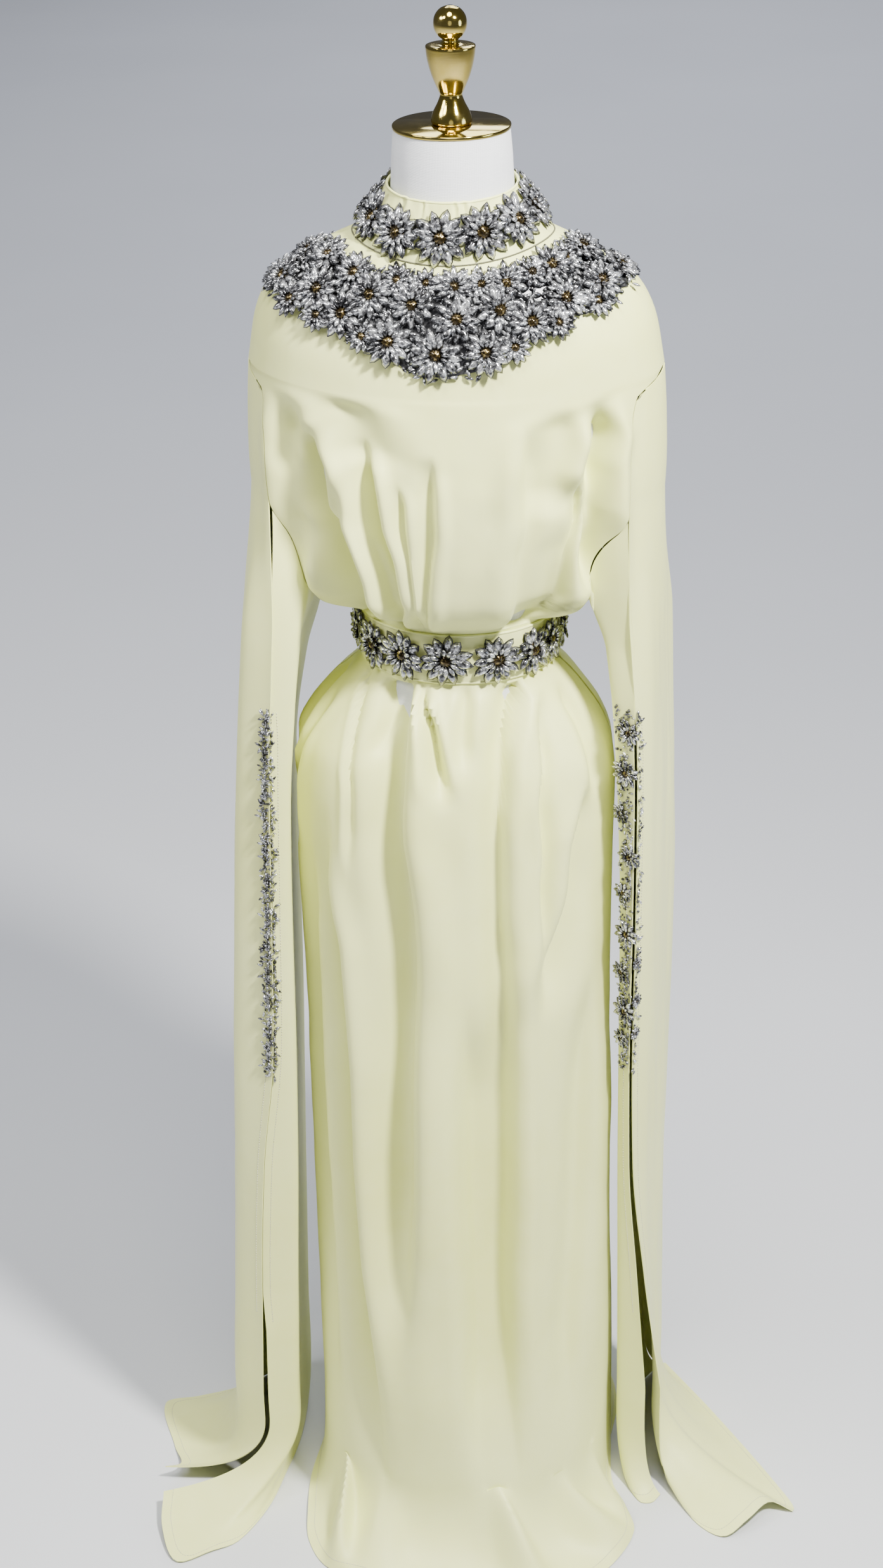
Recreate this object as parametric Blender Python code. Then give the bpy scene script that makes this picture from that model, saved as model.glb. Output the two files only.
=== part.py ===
"""A floor-length kaftan with cape sleeves, worn by a limbless dress form on a stand.

Metres, +Z up, front towards -Y. The origin is the centre of the stand's underside.
Left and right are the viewer's, looking at the front.
"""
import math

import bpy
import numpy as np

# Driving dimensions
WALL = 0.0015
SEAM_GAP = 0.0005
FLOOR_GAP = 0.0008
FORM_GAP = 0.0009

# Columns and rows of the cloth grids
FRONT_COLUMNS = 37
BACK_COLUMNS = 17
YOKE_ROWS = 6
BODY_ROWS = (1.3060, 1.3010, 1.2950, 1.2500, 1.1900, 1.1500, 1.1060, 1.0950, 1.0845, 1.0740, 1.0680,
             1.0630, 1.0110, 1.0020, 0.9850, 0.9550, 0.9150, 0.8600, 0.7500, 0.6000, 0.4200, 0.2400, 0.0900)
FRONT_FLOOR_ROWS = 4
BACK_FLOOR_ROWS = 3
PANEL_EDGE_DEGREES = 89.8
SLEEVE_SHARES = (0, 0.06, 0.12, 0.16, 0.22, 0.35, 0.5, 0.65, 0.78, 0.84, 0.9, 0.95, 1.0)
SLEEVE_FLOOR_ROWS = 5
SLIT_GAP = 0.0021
CAP_GAP = 0.0016

# Yoke rings from the collar seam out to the shoulder point, as the form's shoulders carry them
YOKE = """
half_width front back  side_z front_z back_z
0.0930     0.0750 0.062 1.4340 1.4200 1.440
0.1180     0.0870 0.079 1.4230 1.4000 1.424
0.1480     0.0985 0.092 1.4065 1.3730 1.401
0.1720     0.1080 0.101 1.3885 1.3480 1.376
0.1880     0.1140 0.107 1.3570 1.3260 1.346
0.1965     0.1180 0.110 1.3120 1.3070 1.310
"""

# Level sections of the body below the yoke. A squareness of 1 is an ellipse, less is boxier.
BODY = """
height half_width front  back   squareness shift
1.3060 0.1970     0.1185 0.1105 1.00        0.000
1.2980 0.1978     0.1200 0.1110 1.00        0.000
1.2600 0.2000     0.1250 0.1130 1.00        0.000
1.2200 0.2010     0.1290 0.1140 1.00        0.000
1.1900 0.2000     0.1300 0.1140 1.00        0.000
1.1540 0.1810     0.1290 0.1130 1.00        0.000
1.1200 0.1700     0.1250 0.1110 1.00        0.000
1.1060 0.1640     0.1220 0.1090 1.00        0.000
1.0950 0.1520     0.1170 0.1060 1.00        0.000
1.0840 0.1380     0.1090 0.1000 1.00        0.000
1.0740 0.1140     0.0990 0.0910 1.00        0.000
1.0680 0.1000     0.0900 0.0840 1.00        0.000
1.0640 0.0966     0.0861 0.0816 1.00        0.000
1.0600 0.0962     0.0857 0.0812 1.00        0.000
1.0120 0.0962     0.0857 0.0812 1.00        0.000
1.0080 0.0972     0.0868 0.0818 1.00        0.000
1.0000 0.1060     0.0935 0.0865 1.00        0.000
0.9800 0.1250     0.1050 0.0990 1.00       -0.002
0.9500 0.1470     0.1180 0.1130 0.98       -0.004
0.9200 0.1600     0.1290 0.1230 0.95       -0.006
0.8800 0.1640     0.1370 0.1300 0.93       -0.006
0.8000 0.1630     0.1440 0.1350 0.90       -0.006
0.6000 0.1620     0.1580 0.1420 0.86       -0.005
0.4000 0.1610     0.1740 0.1480 0.83       -0.004
0.2000 0.1620     0.1900 0.1540 0.80       -0.002
0.0900 0.1640     0.1990 0.1580 0.79        0.000
"""

# Where the front and back panels' side edge runs: degrees round from the panel's middle
ARMHOLE = """
height edge_angle
1.3120 89.8
1.3060 76.0
1.3010 67.0
1.2950 62.0
1.2600 58.0
1.2200 57.0
1.1900 56.5
1.1540 56.0
1.1200 56.0
1.1060 57.0
1.0950 66.0
1.0840 89.0
"""
SLEEVE_CAP_ROWS = (1.3010, 1.2950, 1.2500, 1.1900)
SLEEVE_ROWS = (1.1400, 1.0900, 1.0400, 0.9800, 0.8800, 0.7500, 0.5900, 0.4700, 0.3000, 0.1050)
SLEEVE_PLAN_KNOTS = (0.0, 0.16, 0.50, 0.84, 1.0)
OUTER_CORNER_SETBACK = 0.024
INNER_CORNER_SETBACK = 0.016
BACK_CORNER_SETBACK = 0.030
SLEEVE_BOW = 0.005
UNDERARM_Z = 1.084
SLEEVE_SEAM_Z = 1.190
CORNER_DROP = 0.010
RING_RADIUS = 0.13

# The bend from hanging to lying: how far down it starts, the flattest fall, and how rows crowd to it
FLOOR_BEND = 0.92
LEAST_FALL = 0.3
FLOOR_ROW_POWER = 0.9

# Hem of the skirt on the floor, from the left side seam round the front to the right one
FRONT_HEM = """
x       y      z
-0.166  0.000  0.000
-0.170 -0.050  0.000
-0.173 -0.105  0.000
-0.166 -0.165  0.004
-0.158 -0.205  0.000
-0.132 -0.243  0.000
-0.085 -0.262  0.006
-0.040 -0.268  0.000
 0.010 -0.270  0.000
 0.060 -0.268  0.000
 0.110 -0.258  0.000
 0.152 -0.236  0.000
 0.184 -0.200  0.000
 0.202 -0.150  0.000
 0.190 -0.118  0.006
 0.172 -0.075  0.000
 0.165  0.000  0.000
"""
BACK_HEM = """
x       y      z
 0.165  0.000  0.000
 0.168  0.060  0.000
 0.150  0.120  0.000
 0.095  0.163  0.000
 0.040  0.172  0.000
-0.020  0.170  0.000
-0.080  0.165  0.000
-0.142  0.122  0.000
-0.166  0.060  0.000
-0.166  0.000  0.000
"""

# Folds of the cloth: where each starts and ends, how wide its trough is and how deep
FOLDS = """
top_angle end_angle top_z  end_z  width depth
-25.0     -13.0     1.0080 0.7600 0.013 0.010
-13.0     -12.0     0.9000 0.3000 0.016 0.010
-64.0     -25.0     0.8800 0.1000 0.020 0.013
-14.0       0.0     1.0080 0.8800 0.010 0.005
  3.0       4.0     0.4800 0.0300 0.016 0.008
 42.0      28.0     1.0080 0.8600 0.012 0.006
 46.0      34.0     0.9900 0.6500 0.014 0.008
 26.0      19.0     0.9700 0.7000 0.020 0.004
 60.0      39.0     0.8700 0.5500 0.022 0.006
 40.0      32.0     0.4000 0.0300 0.022 0.009
-19.0     -26.0     1.2500 1.0650 0.012 0.007
-11.0     -15.0     1.2500 1.0650 0.012 0.008
-44.0     -29.0     1.2850 1.0700 0.016 0.011
 49.0      50.0     1.2950 1.1000 0.014 0.007
 38.0      50.0     1.2850 1.0750 0.014 0.006
 23.0      31.0     1.2850 1.0700 0.014 0.004
150.0     152.0     1.2500 1.0700 0.018 0.008
180.0     181.0     1.2500 1.0700 0.018 0.008
212.0     209.0     1.2500 1.0700 0.018 0.008
112.0     108.0     0.9900 0.0500 0.022 0.008
138.0     134.0     1.0050 0.0500 0.022 0.012
162.0     160.0     1.0050 0.0500 0.022 0.009
188.0     192.0     1.0050 0.0500 0.022 0.012
214.0     220.0     1.0050 0.0500 0.022 0.010
246.0     250.0     0.9900 0.0500 0.022 0.009
"""

# Level sections of each hanging sleeve: front seam or slit, outer face, back fold and inner face.
# The x columns are for the right sleeve and turn negative on the left.
SLEEVE_LEFT = """
height front_x front_y outer_x outer_back_x back_x back_y inner_back_x inner_x slit_open
1.3000 0.1770  -0.0530 0.1945 0.1960 0.1760 0.0500 0.1760 0.1760 0.000
1.1900 0.1685  -0.0760 0.1985 0.2000 0.1700 0.0790 0.1600 0.1600 0.000
1.0840 0.1665  -0.1000 0.2020 0.2080 0.1720 0.0840 0.1420 0.1450 0.000
1.0400 0.1685  -0.1060 0.2040 0.2110 0.1760 0.0850 0.1480 0.1460 0.000
0.9800 0.1715  -0.1110 0.2080 0.2150 0.1860 0.0850 0.1650 0.1510 0.000
0.8700 0.1750  -0.1170 0.2160 0.2230 0.1970 0.0850 0.1810 0.1590 0.000
0.7500 0.1780  -0.1210 0.2230 0.2310 0.2040 0.0840 0.1830 0.1620 0.000
0.6000 0.1830  -0.1250 0.2300 0.2400 0.2110 0.0820 0.1850 0.1640 0.000
0.4500 0.2000  -0.1280 0.2370 0.2480 0.2190 0.0800 0.1890 0.1680 0.000
0.3000 0.2090  -0.1300 0.2450 0.2560 0.2260 0.0780 0.1930 0.1740 0.000
0.1400 0.2135  -0.1310 0.2540 0.2640 0.2330 0.0760 0.1970 0.1800 0.000
"""
SLEEVE_RIGHT = """
height front_x front_y outer_x outer_back_x back_x back_y inner_back_x inner_x slit_open
1.3000 0.1770  -0.0530 0.1945 0.1960 0.1760 0.0500 0.1760 0.1760 0.000
1.1900 0.1690  -0.0690 0.1960 0.2000 0.1700 0.0850 0.1600 0.1600 0.000
1.0840 0.1720  -0.0720 0.1940 0.2050 0.1740 0.1000 0.1420 0.1450 0.000
1.0400 0.1755  -0.0730 0.1945 0.2065 0.1780 0.1040 0.1480 0.1500 0.000
0.9800 0.1800  -0.0740 0.1960 0.2090 0.1840 0.1080 0.1570 0.1570 0.000
0.8700 0.1830  -0.0745 0.1985 0.2130 0.1890 0.1120 0.1660 0.1640 0.000
0.7500 0.1835  -0.0750 0.2000 0.2160 0.1920 0.1150 0.1720 0.1680 0.000
0.6000 0.1830  -0.0750 0.2010 0.2170 0.1930 0.1170 0.1740 0.1690 0.000
0.4500 0.1850  -0.0748 0.2020 0.2150 0.1930 0.1180 0.1750 0.1700 0.004
0.3000 0.1960  -0.0732 0.2080 0.2130 0.1930 0.1180 0.1760 0.1720 0.016
0.1400 0.2085  -0.0720 0.2150 0.2120 0.1930 0.1180 0.1770 0.1740 0.030
"""

# Hems of the sleeves on the floor, each from its front edge round to its back fold
HEM_OUTER_LEFT = """
x       y      z
-0.338 -0.130  0.003
-0.324 -0.112  0.000
-0.341 -0.074  0.000
-0.368 -0.003  0.000
-0.330  0.014  0.000
-0.286  0.036  0.000
-0.236  0.084  0.000
"""
HEM_INNER_LEFT = """
x       y      z
-0.330 -0.172  0.003
-0.323 -0.214  0.000
-0.298 -0.256  0.000
-0.262 -0.236  0.002
-0.236 -0.216  0.000
-0.212 -0.160  0.000
-0.202 -0.100  0.000
-0.196 -0.030  0.000
-0.206  0.040  0.000
-0.230  0.083  0.000
"""
HEM_OUTER_RIGHT = """
x       y      z
 0.242 -0.084  0.002
 0.270 -0.130  0.000
 0.302 -0.150  0.000
 0.328 -0.132  0.003
 0.352 -0.104  0.004
 0.379 -0.099  0.000
 0.362 -0.064  0.000
 0.283  0.053  0.000
 0.222  0.135  0.000
"""
HEM_INNER_RIGHT = """
x       y      z
 0.228 -0.090  0.000
 0.219 -0.104  0.000
 0.205 -0.104  0.000
 0.187 -0.070  0.000
 0.181  0.000  0.000
 0.188  0.080  0.000
 0.216  0.134  0.000
"""

# Rings of the form above and below its shoulders, which follow the yoke's inside
NECK = """
half_width front  back   side_z front_z back_z
0.0532     0.0532 0.0532 1.5262 1.5262  1.5262
0.0550     0.0548 0.0545 1.5050 1.5050  1.5050
0.0565     0.0558 0.0552 1.4780 1.4760  1.4780
0.0585     0.0575 0.0560 1.4560 1.4500  1.4580
0.0660     0.0610 0.0570 1.4430 1.4350  1.4470
0.0800     0.0670 0.0585 1.4355 1.4240  1.4410
"""
TRUNK = """
half_width front  back   side_z front_z back_z
0.1690     0.1040 0.0970 1.3720 1.3340  1.3560
0.1705     0.1070 0.1000 1.3450 1.3100  1.3250
0.1620     0.1110 0.1010 1.2800 1.2650  1.2700
0.1460     0.1090 0.0950 1.2000 1.2000  1.2000
0.1180     0.0940 0.0860 1.1250 1.1250  1.1250
0.0960     0.0820 0.0770 1.0850 1.0850  1.0850
0.0895     0.0790 0.0740 1.0600 1.0600  1.0600
0.0895     0.0790 0.0740 1.0100 1.0100  1.0100
0.1000     0.0850 0.0830 0.9700 0.9700  0.9700
0.1270     0.1000 0.1000 0.9100 0.9100  0.9100
0.1360     0.1060 0.1060 0.8500 0.8500  0.8500
0.1320     0.1040 0.1040 0.8100 0.8100  0.8100
"""
SHOULDER_WAY = 0.60

# Half profiles of the turned brass pieces: radius and height from the floor
FINIAL_PROFILE = """
radius height
0.0175 1.5306
0.0188 1.5325
0.0170 1.5400
0.0125 1.5490
0.0102 1.5560
0.0118 1.5600
0.0170 1.5720
0.0208 1.5850
0.0224 1.5960
0.0220 1.5995
0.0100 1.6012
0.0072 1.6040
0.0110 1.6076
0.0143 1.6130
0.0151 1.6190
0.0136 1.6256
0.0090 1.6311
0.0030 1.6336
"""
CAP_PROFILE = """
radius height
0.0532 1.5266
0.0540 1.5270
0.0540 1.5294
0.0532 1.5300
"""
BASE_PROFILE = """
radius height
0.1400 0.0000
0.1400 0.0045
0.1385 0.0060
"""
POLE_TOP_Z = 0.8095
POLE_RADIUS = 0.0125
BASE_THICKNESS = 0.0060

# Flowers: how far their petals and hearts stand up from the cloth
PETAL_RELIEF = 0.0022
HEART_RELIEF = 0.0016
HEART_SHARE = 0.45
COLLAR_FLOWERS = 15
COLLAR_FLOWER_RADIUS = 0.0200
BELT_FLOWERS = 14
BELT_FLOWER_RADIUS = 0.0215
SLIT_FLOWER_RADIUS = 0.0180
TRIM_LIFT = 0.0009
TRIM_BASE = 0.0008

# Collar and belt
COLLAR_TOP_RADIUS = 0.0608
COLLAR_TOP_Z = 1.4830
COLLAR_TOP_DIP = 0.0100
COLLAR_WALL = 0.0018
COLLAR_COLUMNS = 60
BELT_TOP_Z = 1.0622
BELT_BOTTOM_Z = 1.0130
BELT_HALF_WIDTH = 0.0985
BELT_FRONT = 0.0880
BELT_BACK = 0.0835
BELT_WALL = 0.0018
BELT_COLUMNS = 56

# Crescent of flowers on the yoke: way 0 is the collar seam and 1 the shoulder point's ring
CRESCENT = """
angle top_way bottom_way
-87   0.13    0.63
-64   0.12    0.65
-46   0.11    0.60
-30   0.10    0.64
-18   0.09    0.69
-2    0.06    0.83
14    0.06    0.76
21    0.08    0.69
32    0.10    0.63
46    0.10    0.59
60    0.07    0.60
87    0.09    0.58
"""
YOKE_FLOWERS = """
angle way  radius
-82   0.42 0.017
-71   0.52 0.017
-64   0.24 0.018
-50   0.42 0.018
-42   0.23 0.018
-35   0.48 0.018
-28   0.30 0.018
-16   0.54 0.018
-11   0.28 0.018
-2    0.62 0.020
6     0.17 0.015
6     0.37 0.018
14    0.57 0.018
22    0.33 0.018
30    0.18 0.015
32    0.46 0.018
47    0.43 0.018
52    0.20 0.018
66    0.43 0.018
76    0.20 0.017
83    0.42 0.017
"""

# Flower trim along the sleeve slits, its width by side and face as a share of the sleeve's own
SLIT_TRIM_TOP_Z = 0.985
SLIT_TRIM_END_Z = 0.575
TRIM_START_SHARE = 0.012
TRIM_SHARES = {(-1, 1): 0.055, (-1, -1): 0.090, (1, 1): 0.060, (1, -1): 0.155}


def table(text):
    """Read a table with a row of column names into a dictionary of arrays."""
    lines = [line.split() for line in text.strip().splitlines()]
    columns = zip(*lines[1:])
    return {name: np.array([float(v) for v in column]) for name, column in zip(lines[0], columns)}


def smooth(knots, values, at):
    """Smooth curve through values at rising knots that never swings past them."""
    knots, values = np.asarray(knots, float), np.asarray(values, float)
    step = np.diff(knots)
    slope = np.diff(values) / step
    tangent = np.zeros_like(values)
    same_way = slope[:-1] * slope[1:] > 0
    weight = 2.0 * slope[:-1] * slope[1:]
    total = np.where(same_way, slope[:-1] + slope[1:], 1.0)
    tangent[1:-1] = np.where(same_way, weight / total, 0.0)
    tangent[0], tangent[-1] = slope[0], slope[-1]
    at = np.clip(at, knots[0], knots[-1])
    i = np.clip(np.searchsorted(knots, at) - 1, 0, len(step) - 1)
    t = (at - knots[i]) / step[i]
    a = values[i] * (1 + 2 * t) * (1 - t) ** 2 + values[i + 1] * t * t * (3 - 2 * t)
    b = step[i] * t * (1 - t) * (tangent[i] * (1 - t) - tangent[i + 1] * t)
    return a + b


def through(points, at):
    """Point at a share of the way along a rounded curve through the given points."""
    points = np.asarray(points, float)
    length = np.concatenate([[0], np.cumsum(np.linalg.norm(np.diff(points, axis=0), axis=1))])
    share = length / length[-1]
    n = len(points)
    i = np.clip(np.searchsorted(share, at) - 1, 0, n - 2)
    t = ((at - share[i]) / (share[i + 1] - share[i]))[:, None]
    before, start = points[np.maximum(i - 1, 0)], points[i]
    end, after = points[i + 1], points[np.minimum(i + 2, n - 1)]
    span = (share[i + 1] - share[i])[:, None]
    into = (share[i + 1] - share[np.maximum(i - 1, 0)])[:, None]
    out = (share[np.minimum(i + 2, n - 1)] - share[i])[:, None]
    tangent_in = (end - before) / into * span
    tangent_out = (after - start) / out * span
    return (start * (1 + 2 * t) * (1 - t) ** 2 + end * t * t * (3 - 2 * t)
            + tangent_in * t * (1 - t) ** 2 - tangent_out * t * t * (1 - t))


body, yoke, armhole, folds = table(BODY), table(YOKE), table(ARMHOLE), table(FOLDS)


def level(columns, name, z):
    """Value of a section table's column at a height."""
    order = np.argsort(columns["height"])
    return smooth(columns["height"][order], columns[name][order], z)


def signed_power(value, power):
    return np.sign(value) * np.abs(value) ** power


def ring(angle, half_width, front, back, squareness=1.0):
    """Plan of a body section: angle 0 at the front's middle, a quarter turn at the right side."""
    c = np.cos(angle)
    depth = np.where(c > 0, front, back)
    return half_width * signed_power(np.sin(angle), squareness), -depth * signed_power(c, squareness)


def fold_depth(angle, z):
    """How far the folds push the body's cloth in or out at an angle and height."""
    total = np.zeros(np.broadcast(angle, z).shape)
    for top_angle, end_angle, top_z, end_z, width, depth in zip(*folds.values()):
        t = np.clip((top_z - z) / (top_z - end_z), 0, 1)
        centre = np.radians(top_angle + (end_angle - top_angle) * t)
        apart = (angle - centre + math.pi) % (2 * math.pi) - math.pi
        q = (apart * RING_RADIUS / (width * (1 + 0.7 * t))) ** 2
        window = np.minimum(1, 6 * t) * np.clip((1 - t) * 2.5, 0, 1)
        total += -depth * window * (1 - 0.7 * q) * np.exp(-q / 1.4)
    return total


def body_points(angle, z, out=0.0):
    """Points of the body's outer side, moved out by a distance."""
    half, front = level(body, "half_width", z), level(body, "front", z)
    back, square = level(body, "back", z), level(body, "squareness", z)
    x, y = ring(angle, half, front, back, square)
    x = x + level(body, "shift", z)
    away = np.stack([np.sin(angle) / half, -np.cos(angle) / np.where(np.cos(angle) > 0, front, back)])
    away = away / np.linalg.norm(away, axis=0)
    push = fold_depth(angle, z) + out
    return np.stack([x + away[0] * push, y + away[1] * push, z + 0 * x], -1)


def yoke_points(angle, way):
    """Points of the yoke from the collar seam, way 0, to the shoulder point's ring, way 1."""
    knots = np.linspace(0, 1, len(yoke["front"]))
    half, front, back = (smooth(knots, yoke[name], way) for name in ("half_width", "front", "back"))
    side_z, front_z, back_z = (smooth(knots, yoke[name], way) for name in ("side_z", "front_z", "back_z"))
    x, y = ring(angle, half, front, back)
    middle_z = np.where(np.cos(angle) > 0, front_z, back_z)
    z = side_z + (middle_z - side_z) * np.cos(angle) ** 2
    return np.stack([x, y, z], -1)


def normals(grid):
    """Outward directions of a grid of points, rows downwards and columns to the right."""
    across, down = np.gradient(grid, axis=1), np.gradient(grid, axis=0)
    n = np.cross(down, across)
    return n / np.maximum(np.linalg.norm(n, axis=2, keepdims=True), 1e-9)


def moved_out(grid, distance):
    """The grid moved along its own normals by a distance or an array of distances."""
    return grid + normals(grid) * np.broadcast_to(np.asarray(distance), grid.shape[:2])[..., None]


def node(name, material, vertices, faces):
    mesh = bpy.data.meshes.new(name)
    mesh.from_pydata([tuple(v) for v in vertices], [], faces)
    mesh.materials.append(material)
    mesh.shade_smooth()
    mesh.set_sharp_from_angle(angle=math.radians(50))
    made = bpy.data.objects.new(name, mesh)
    bpy.context.collection.objects.link(made)
    return made


def between(name, material, outer, inner, closed=False):
    """Closed wall between an outer and an inner grid, rows downwards, columns to the right."""
    rows, columns = outer.shape[:2]
    count = rows * columns
    last = columns if closed else columns - 1
    faces = []
    for r in range(rows - 1):
        for c in range(last):
            a, b = r * columns + c, r * columns + (c + 1) % columns
            faces.append((a, a + columns, b + columns, b))
            faces.append((count + a, count + b, count + b + columns, count + a + columns))
    for c in range(last):
        a, b = c, (c + 1) % columns
        faces.append((a, b, count + b, count + a))
        a, b = a + count - columns, b + count - columns
        faces.append((a, count + a, count + b, b))
    if not closed:
        for r in range(rows - 1):
            a, b = r * columns, (r + 1) * columns
            faces.append((a, count + a, count + b, b))
            a, b = a + columns - 1, b + columns - 1
            faces.append((a, b, count + b, count + a))
    return node(name, material, np.concatenate([outer.reshape(-1, 3), inner.reshape(-1, 3)]), faces)


def cloth(name, material, grid, closed=False, wall=WALL):
    return between(name, material, grid, moved_out(grid, -wall), closed)


def turned(name, material, profile, sides):
    """Solid turned round the vertical axis from radii and heights, rising."""
    turn = np.linspace(0, 2 * math.pi, sides, endpoint=False)
    radius, height = profile
    grid = [(r * math.cos(a), r * math.sin(a), z) for r, z in zip(radius, height) for a in turn]
    faces = [tuple(reversed(range(sides))), tuple(range(len(grid) - sides, len(grid)))]
    for i in range(len(radius) - 1):
        for j in range(sides):
            a, b = i * sides + j, i * sides + (j + 1) % sides
            faces.append((a, b, b + sides, a + sides))
    return node(name, material, grid, faces)


def material(name, colour, roughness, metallic=0.0):
    made = bpy.data.materials.new(name)
    made.use_nodes = True
    shader = made.node_tree.nodes["Principled BSDF"]
    shader.inputs["Base Color"].default_value = (*colour, 1)
    shader.inputs["Roughness"].default_value = roughness
    shader.inputs["Metallic"].default_value = metallic
    return made


def to_floor(last_row, row_above, hem, count):
    """Rows from a hanging row down on to the floor and out to the hem."""
    fall = last_row - row_above
    fall = fall / np.linalg.norm(fall, axis=1, keepdims=True)
    drop = last_row[:, 2:3] - hem[:, 2:3]
    bend = last_row + fall * drop * FLOOR_BEND / np.maximum(-fall[:, 2:3], LEAST_FALL)
    rows = []
    for t in np.linspace(0, 1, count + 1)[1:]:
        t = t ** FLOOR_ROW_POWER
        rows.append(last_row * (1 - t) ** 2 + bend * 2 * t * (1 - t) + hem * t * t)
    return rows


def hem_row(text, share):
    """Points of a hem line, lifted just clear of the floor."""
    columns = table(text)
    points = np.stack([columns["x"], columns["y"], columns["z"]], -1)
    row = through(points, share)
    row[:, 2] = np.maximum(row[:, 2], 0) + FLOOR_GAP + WALL
    return row


def panel_grid(centre_angle, columns, hem, floor_rows):
    """Grid of the front or back panel, neckline to hem."""
    share = np.linspace(-1, 1, columns)
    gap = SEAM_GAP * 0.5
    rows = []
    for way in np.linspace(0, 1, YOKE_ROWS):
        point = yoke_points(math.radians(centre_angle) + share * math.radians(PANEL_EDGE_DEGREES),
                            np.full(columns, way))
        rows.append(point)
    for z in BODY_ROWS:
        edge = smooth(armhole["height"][::-1], armhole["edge_angle"][::-1], z)
        edge = math.radians(min(float(edge), PANEL_EDGE_DEGREES))
        width = float(level(body, "half_width", z))
        rows.append(body_points(math.radians(centre_angle) + share * (edge - gap / width),
                                np.full(columns, z)))
    hem = hem_row(hem, (share + 1) / 2)
    rows += to_floor(rows[-1], rows[-2], hem, floor_rows)
    return np.array(rows)


def sleeve_line(columns, z, share, face):
    """Plan of one face of a sleeve at heights z, share 0 at the front seam and 1 at the back fold."""
    at = {name: level(columns, name, z) for name in columns if name != "height"}
    front = np.stack([at["front_x"] + SLIT_GAP * face, at["front_y"]], -1)
    back = np.stack([at["back_x"] + SLIT_GAP * face, at["back_y"]], -1)
    if face > 0:
        front[..., 0] += at["slit_open"]
        corner = np.stack([at["outer_x"], at["front_y"] + OUTER_CORNER_SETBACK], -1)
        far_corner = np.stack([at["outer_back_x"], at["back_y"] - BACK_CORNER_SETBACK], -1)
    else:
        corner = np.stack([at["inner_x"], at["front_y"] + INNER_CORNER_SETBACK], -1)
        far_corner = np.stack([at["inner_back_x"], at["back_y"] - BACK_CORNER_SETBACK], -1)
    middle = (corner + far_corner) / 2
    middle[..., 0] += SLEEVE_BOW
    points = np.stack([front, corner, middle, far_corner, back], -2)
    plan = np.empty(np.shape(share) + (2,))
    for i, s in enumerate(share):
        for axis in (0, 1):
            plan[i, axis] = smooth(SLEEVE_PLAN_KNOTS, points[i, :, axis], s)
    return plan


def sleeve_points(columns, side, z, share, face):
    """Points of a sleeve's face in place, side -1 left or 1 right."""
    z = np.broadcast_to(z, np.shape(share))
    plan = sleeve_line(columns, z, share, face)
    return np.stack([plan[:, 0] * side, plan[:, 1], z], -1)


def armhole_angle(z):
    return np.radians(smooth(armhole["height"][::-1], armhole["edge_angle"][::-1], z))


def armhole_height(angle):
    """Height at which the upper armhole seam crosses an angle."""
    upper = armhole["height"] > SLEEVE_SEAM_Z
    return smooth(armhole["edge_angle"][upper][::-1], armhole["height"][upper][::-1], np.degrees(angle))


def fade(share):
    """Smooth fall from 1 to 0 as the share goes from 0 to 1."""
    share = np.clip(share, 0, 1)
    return (1 - share) ** 2 * (1 + 2 * share)


def sleeve_outer_grid(columns, side, hem):
    """Outer length: hangs from the dropped shoulder seam, slit edge round to the back fold."""
    share = np.array(SLEEVE_SHARES)
    rows = []
    for z in SLEEVE_CAP_ROWS:
        edge = armhole_angle(z) + SEAM_GAP * 1.6 / RING_RADIUS
        angle = edge + (math.pi - 2 * edge) * share
        ceiling = armhole_height(np.minimum(angle, math.pi - angle)) - CAP_GAP
        height = np.minimum(z, ceiling) if z < SLEEVE_CAP_ROWS[0] else ceiling
        rows.append(body_points(angle * side, height))
    cap = rows[-1]
    for z in SLEEVE_ROWS:
        row = sleeve_points(columns, side, z, share, 1)
        blend = fade((SLEEVE_SEAM_Z - z) / (SLEEVE_SEAM_Z - SLEEVE_ROWS[2]))
        start = sleeve_points(columns, side, SLEEVE_SEAM_Z, share, 1)
        row[:, :2] += (cap - start)[:, :2] * blend
        rows.append(row)
    rows += to_floor(rows[-1], rows[-2], hem_row(hem, share), SLEEVE_FLOOR_ROWS)
    grid = np.array(rows)
    return grid if side > 0 else grid[:, ::-1]


def sleeve_inner_grid(columns, side, hem):
    """Inner length: hangs from the lower armhole on the body's side, slit edge to the back fold."""
    share = np.array(SLEEVE_SHARES)
    highest = SLEEVE_SEAM_Z - CORNER_DROP
    top_z = highest - (highest - UNDERARM_Z) * np.sin(share * math.pi) ** 0.7
    edge = armhole_angle(top_z) + SEAM_GAP / RING_RADIUS
    angle = np.where(share < 0.5, edge, math.pi - edge)
    angle = np.where(np.abs(share - 0.5) < 0.01, math.pi / 2, angle)
    top = body_points(angle * side, top_z)
    top[:, 2] -= SEAM_GAP * 4 * np.sin(share * math.pi)
    start = sleeve_points(columns, side, top[:, 2], share, -1)
    rows = []
    for t in np.linspace(0, 1, 5):
        z = top[:, 2] * (1 - t) + SLEEVE_ROWS[2] * t
        row = sleeve_points(columns, side, z, share, -1)
        rows.append(row + (top - start) * fade(t))
    for z in SLEEVE_ROWS[3:]:
        rows.append(sleeve_points(columns, side, z, share, -1))
    rows += to_floor(rows[-1], rows[-2], hem_row(hem, share), SLEEVE_FLOOR_ROWS)
    grid = np.array(rows)
    return grid[:, ::-1] if side > 0 else grid


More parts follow.
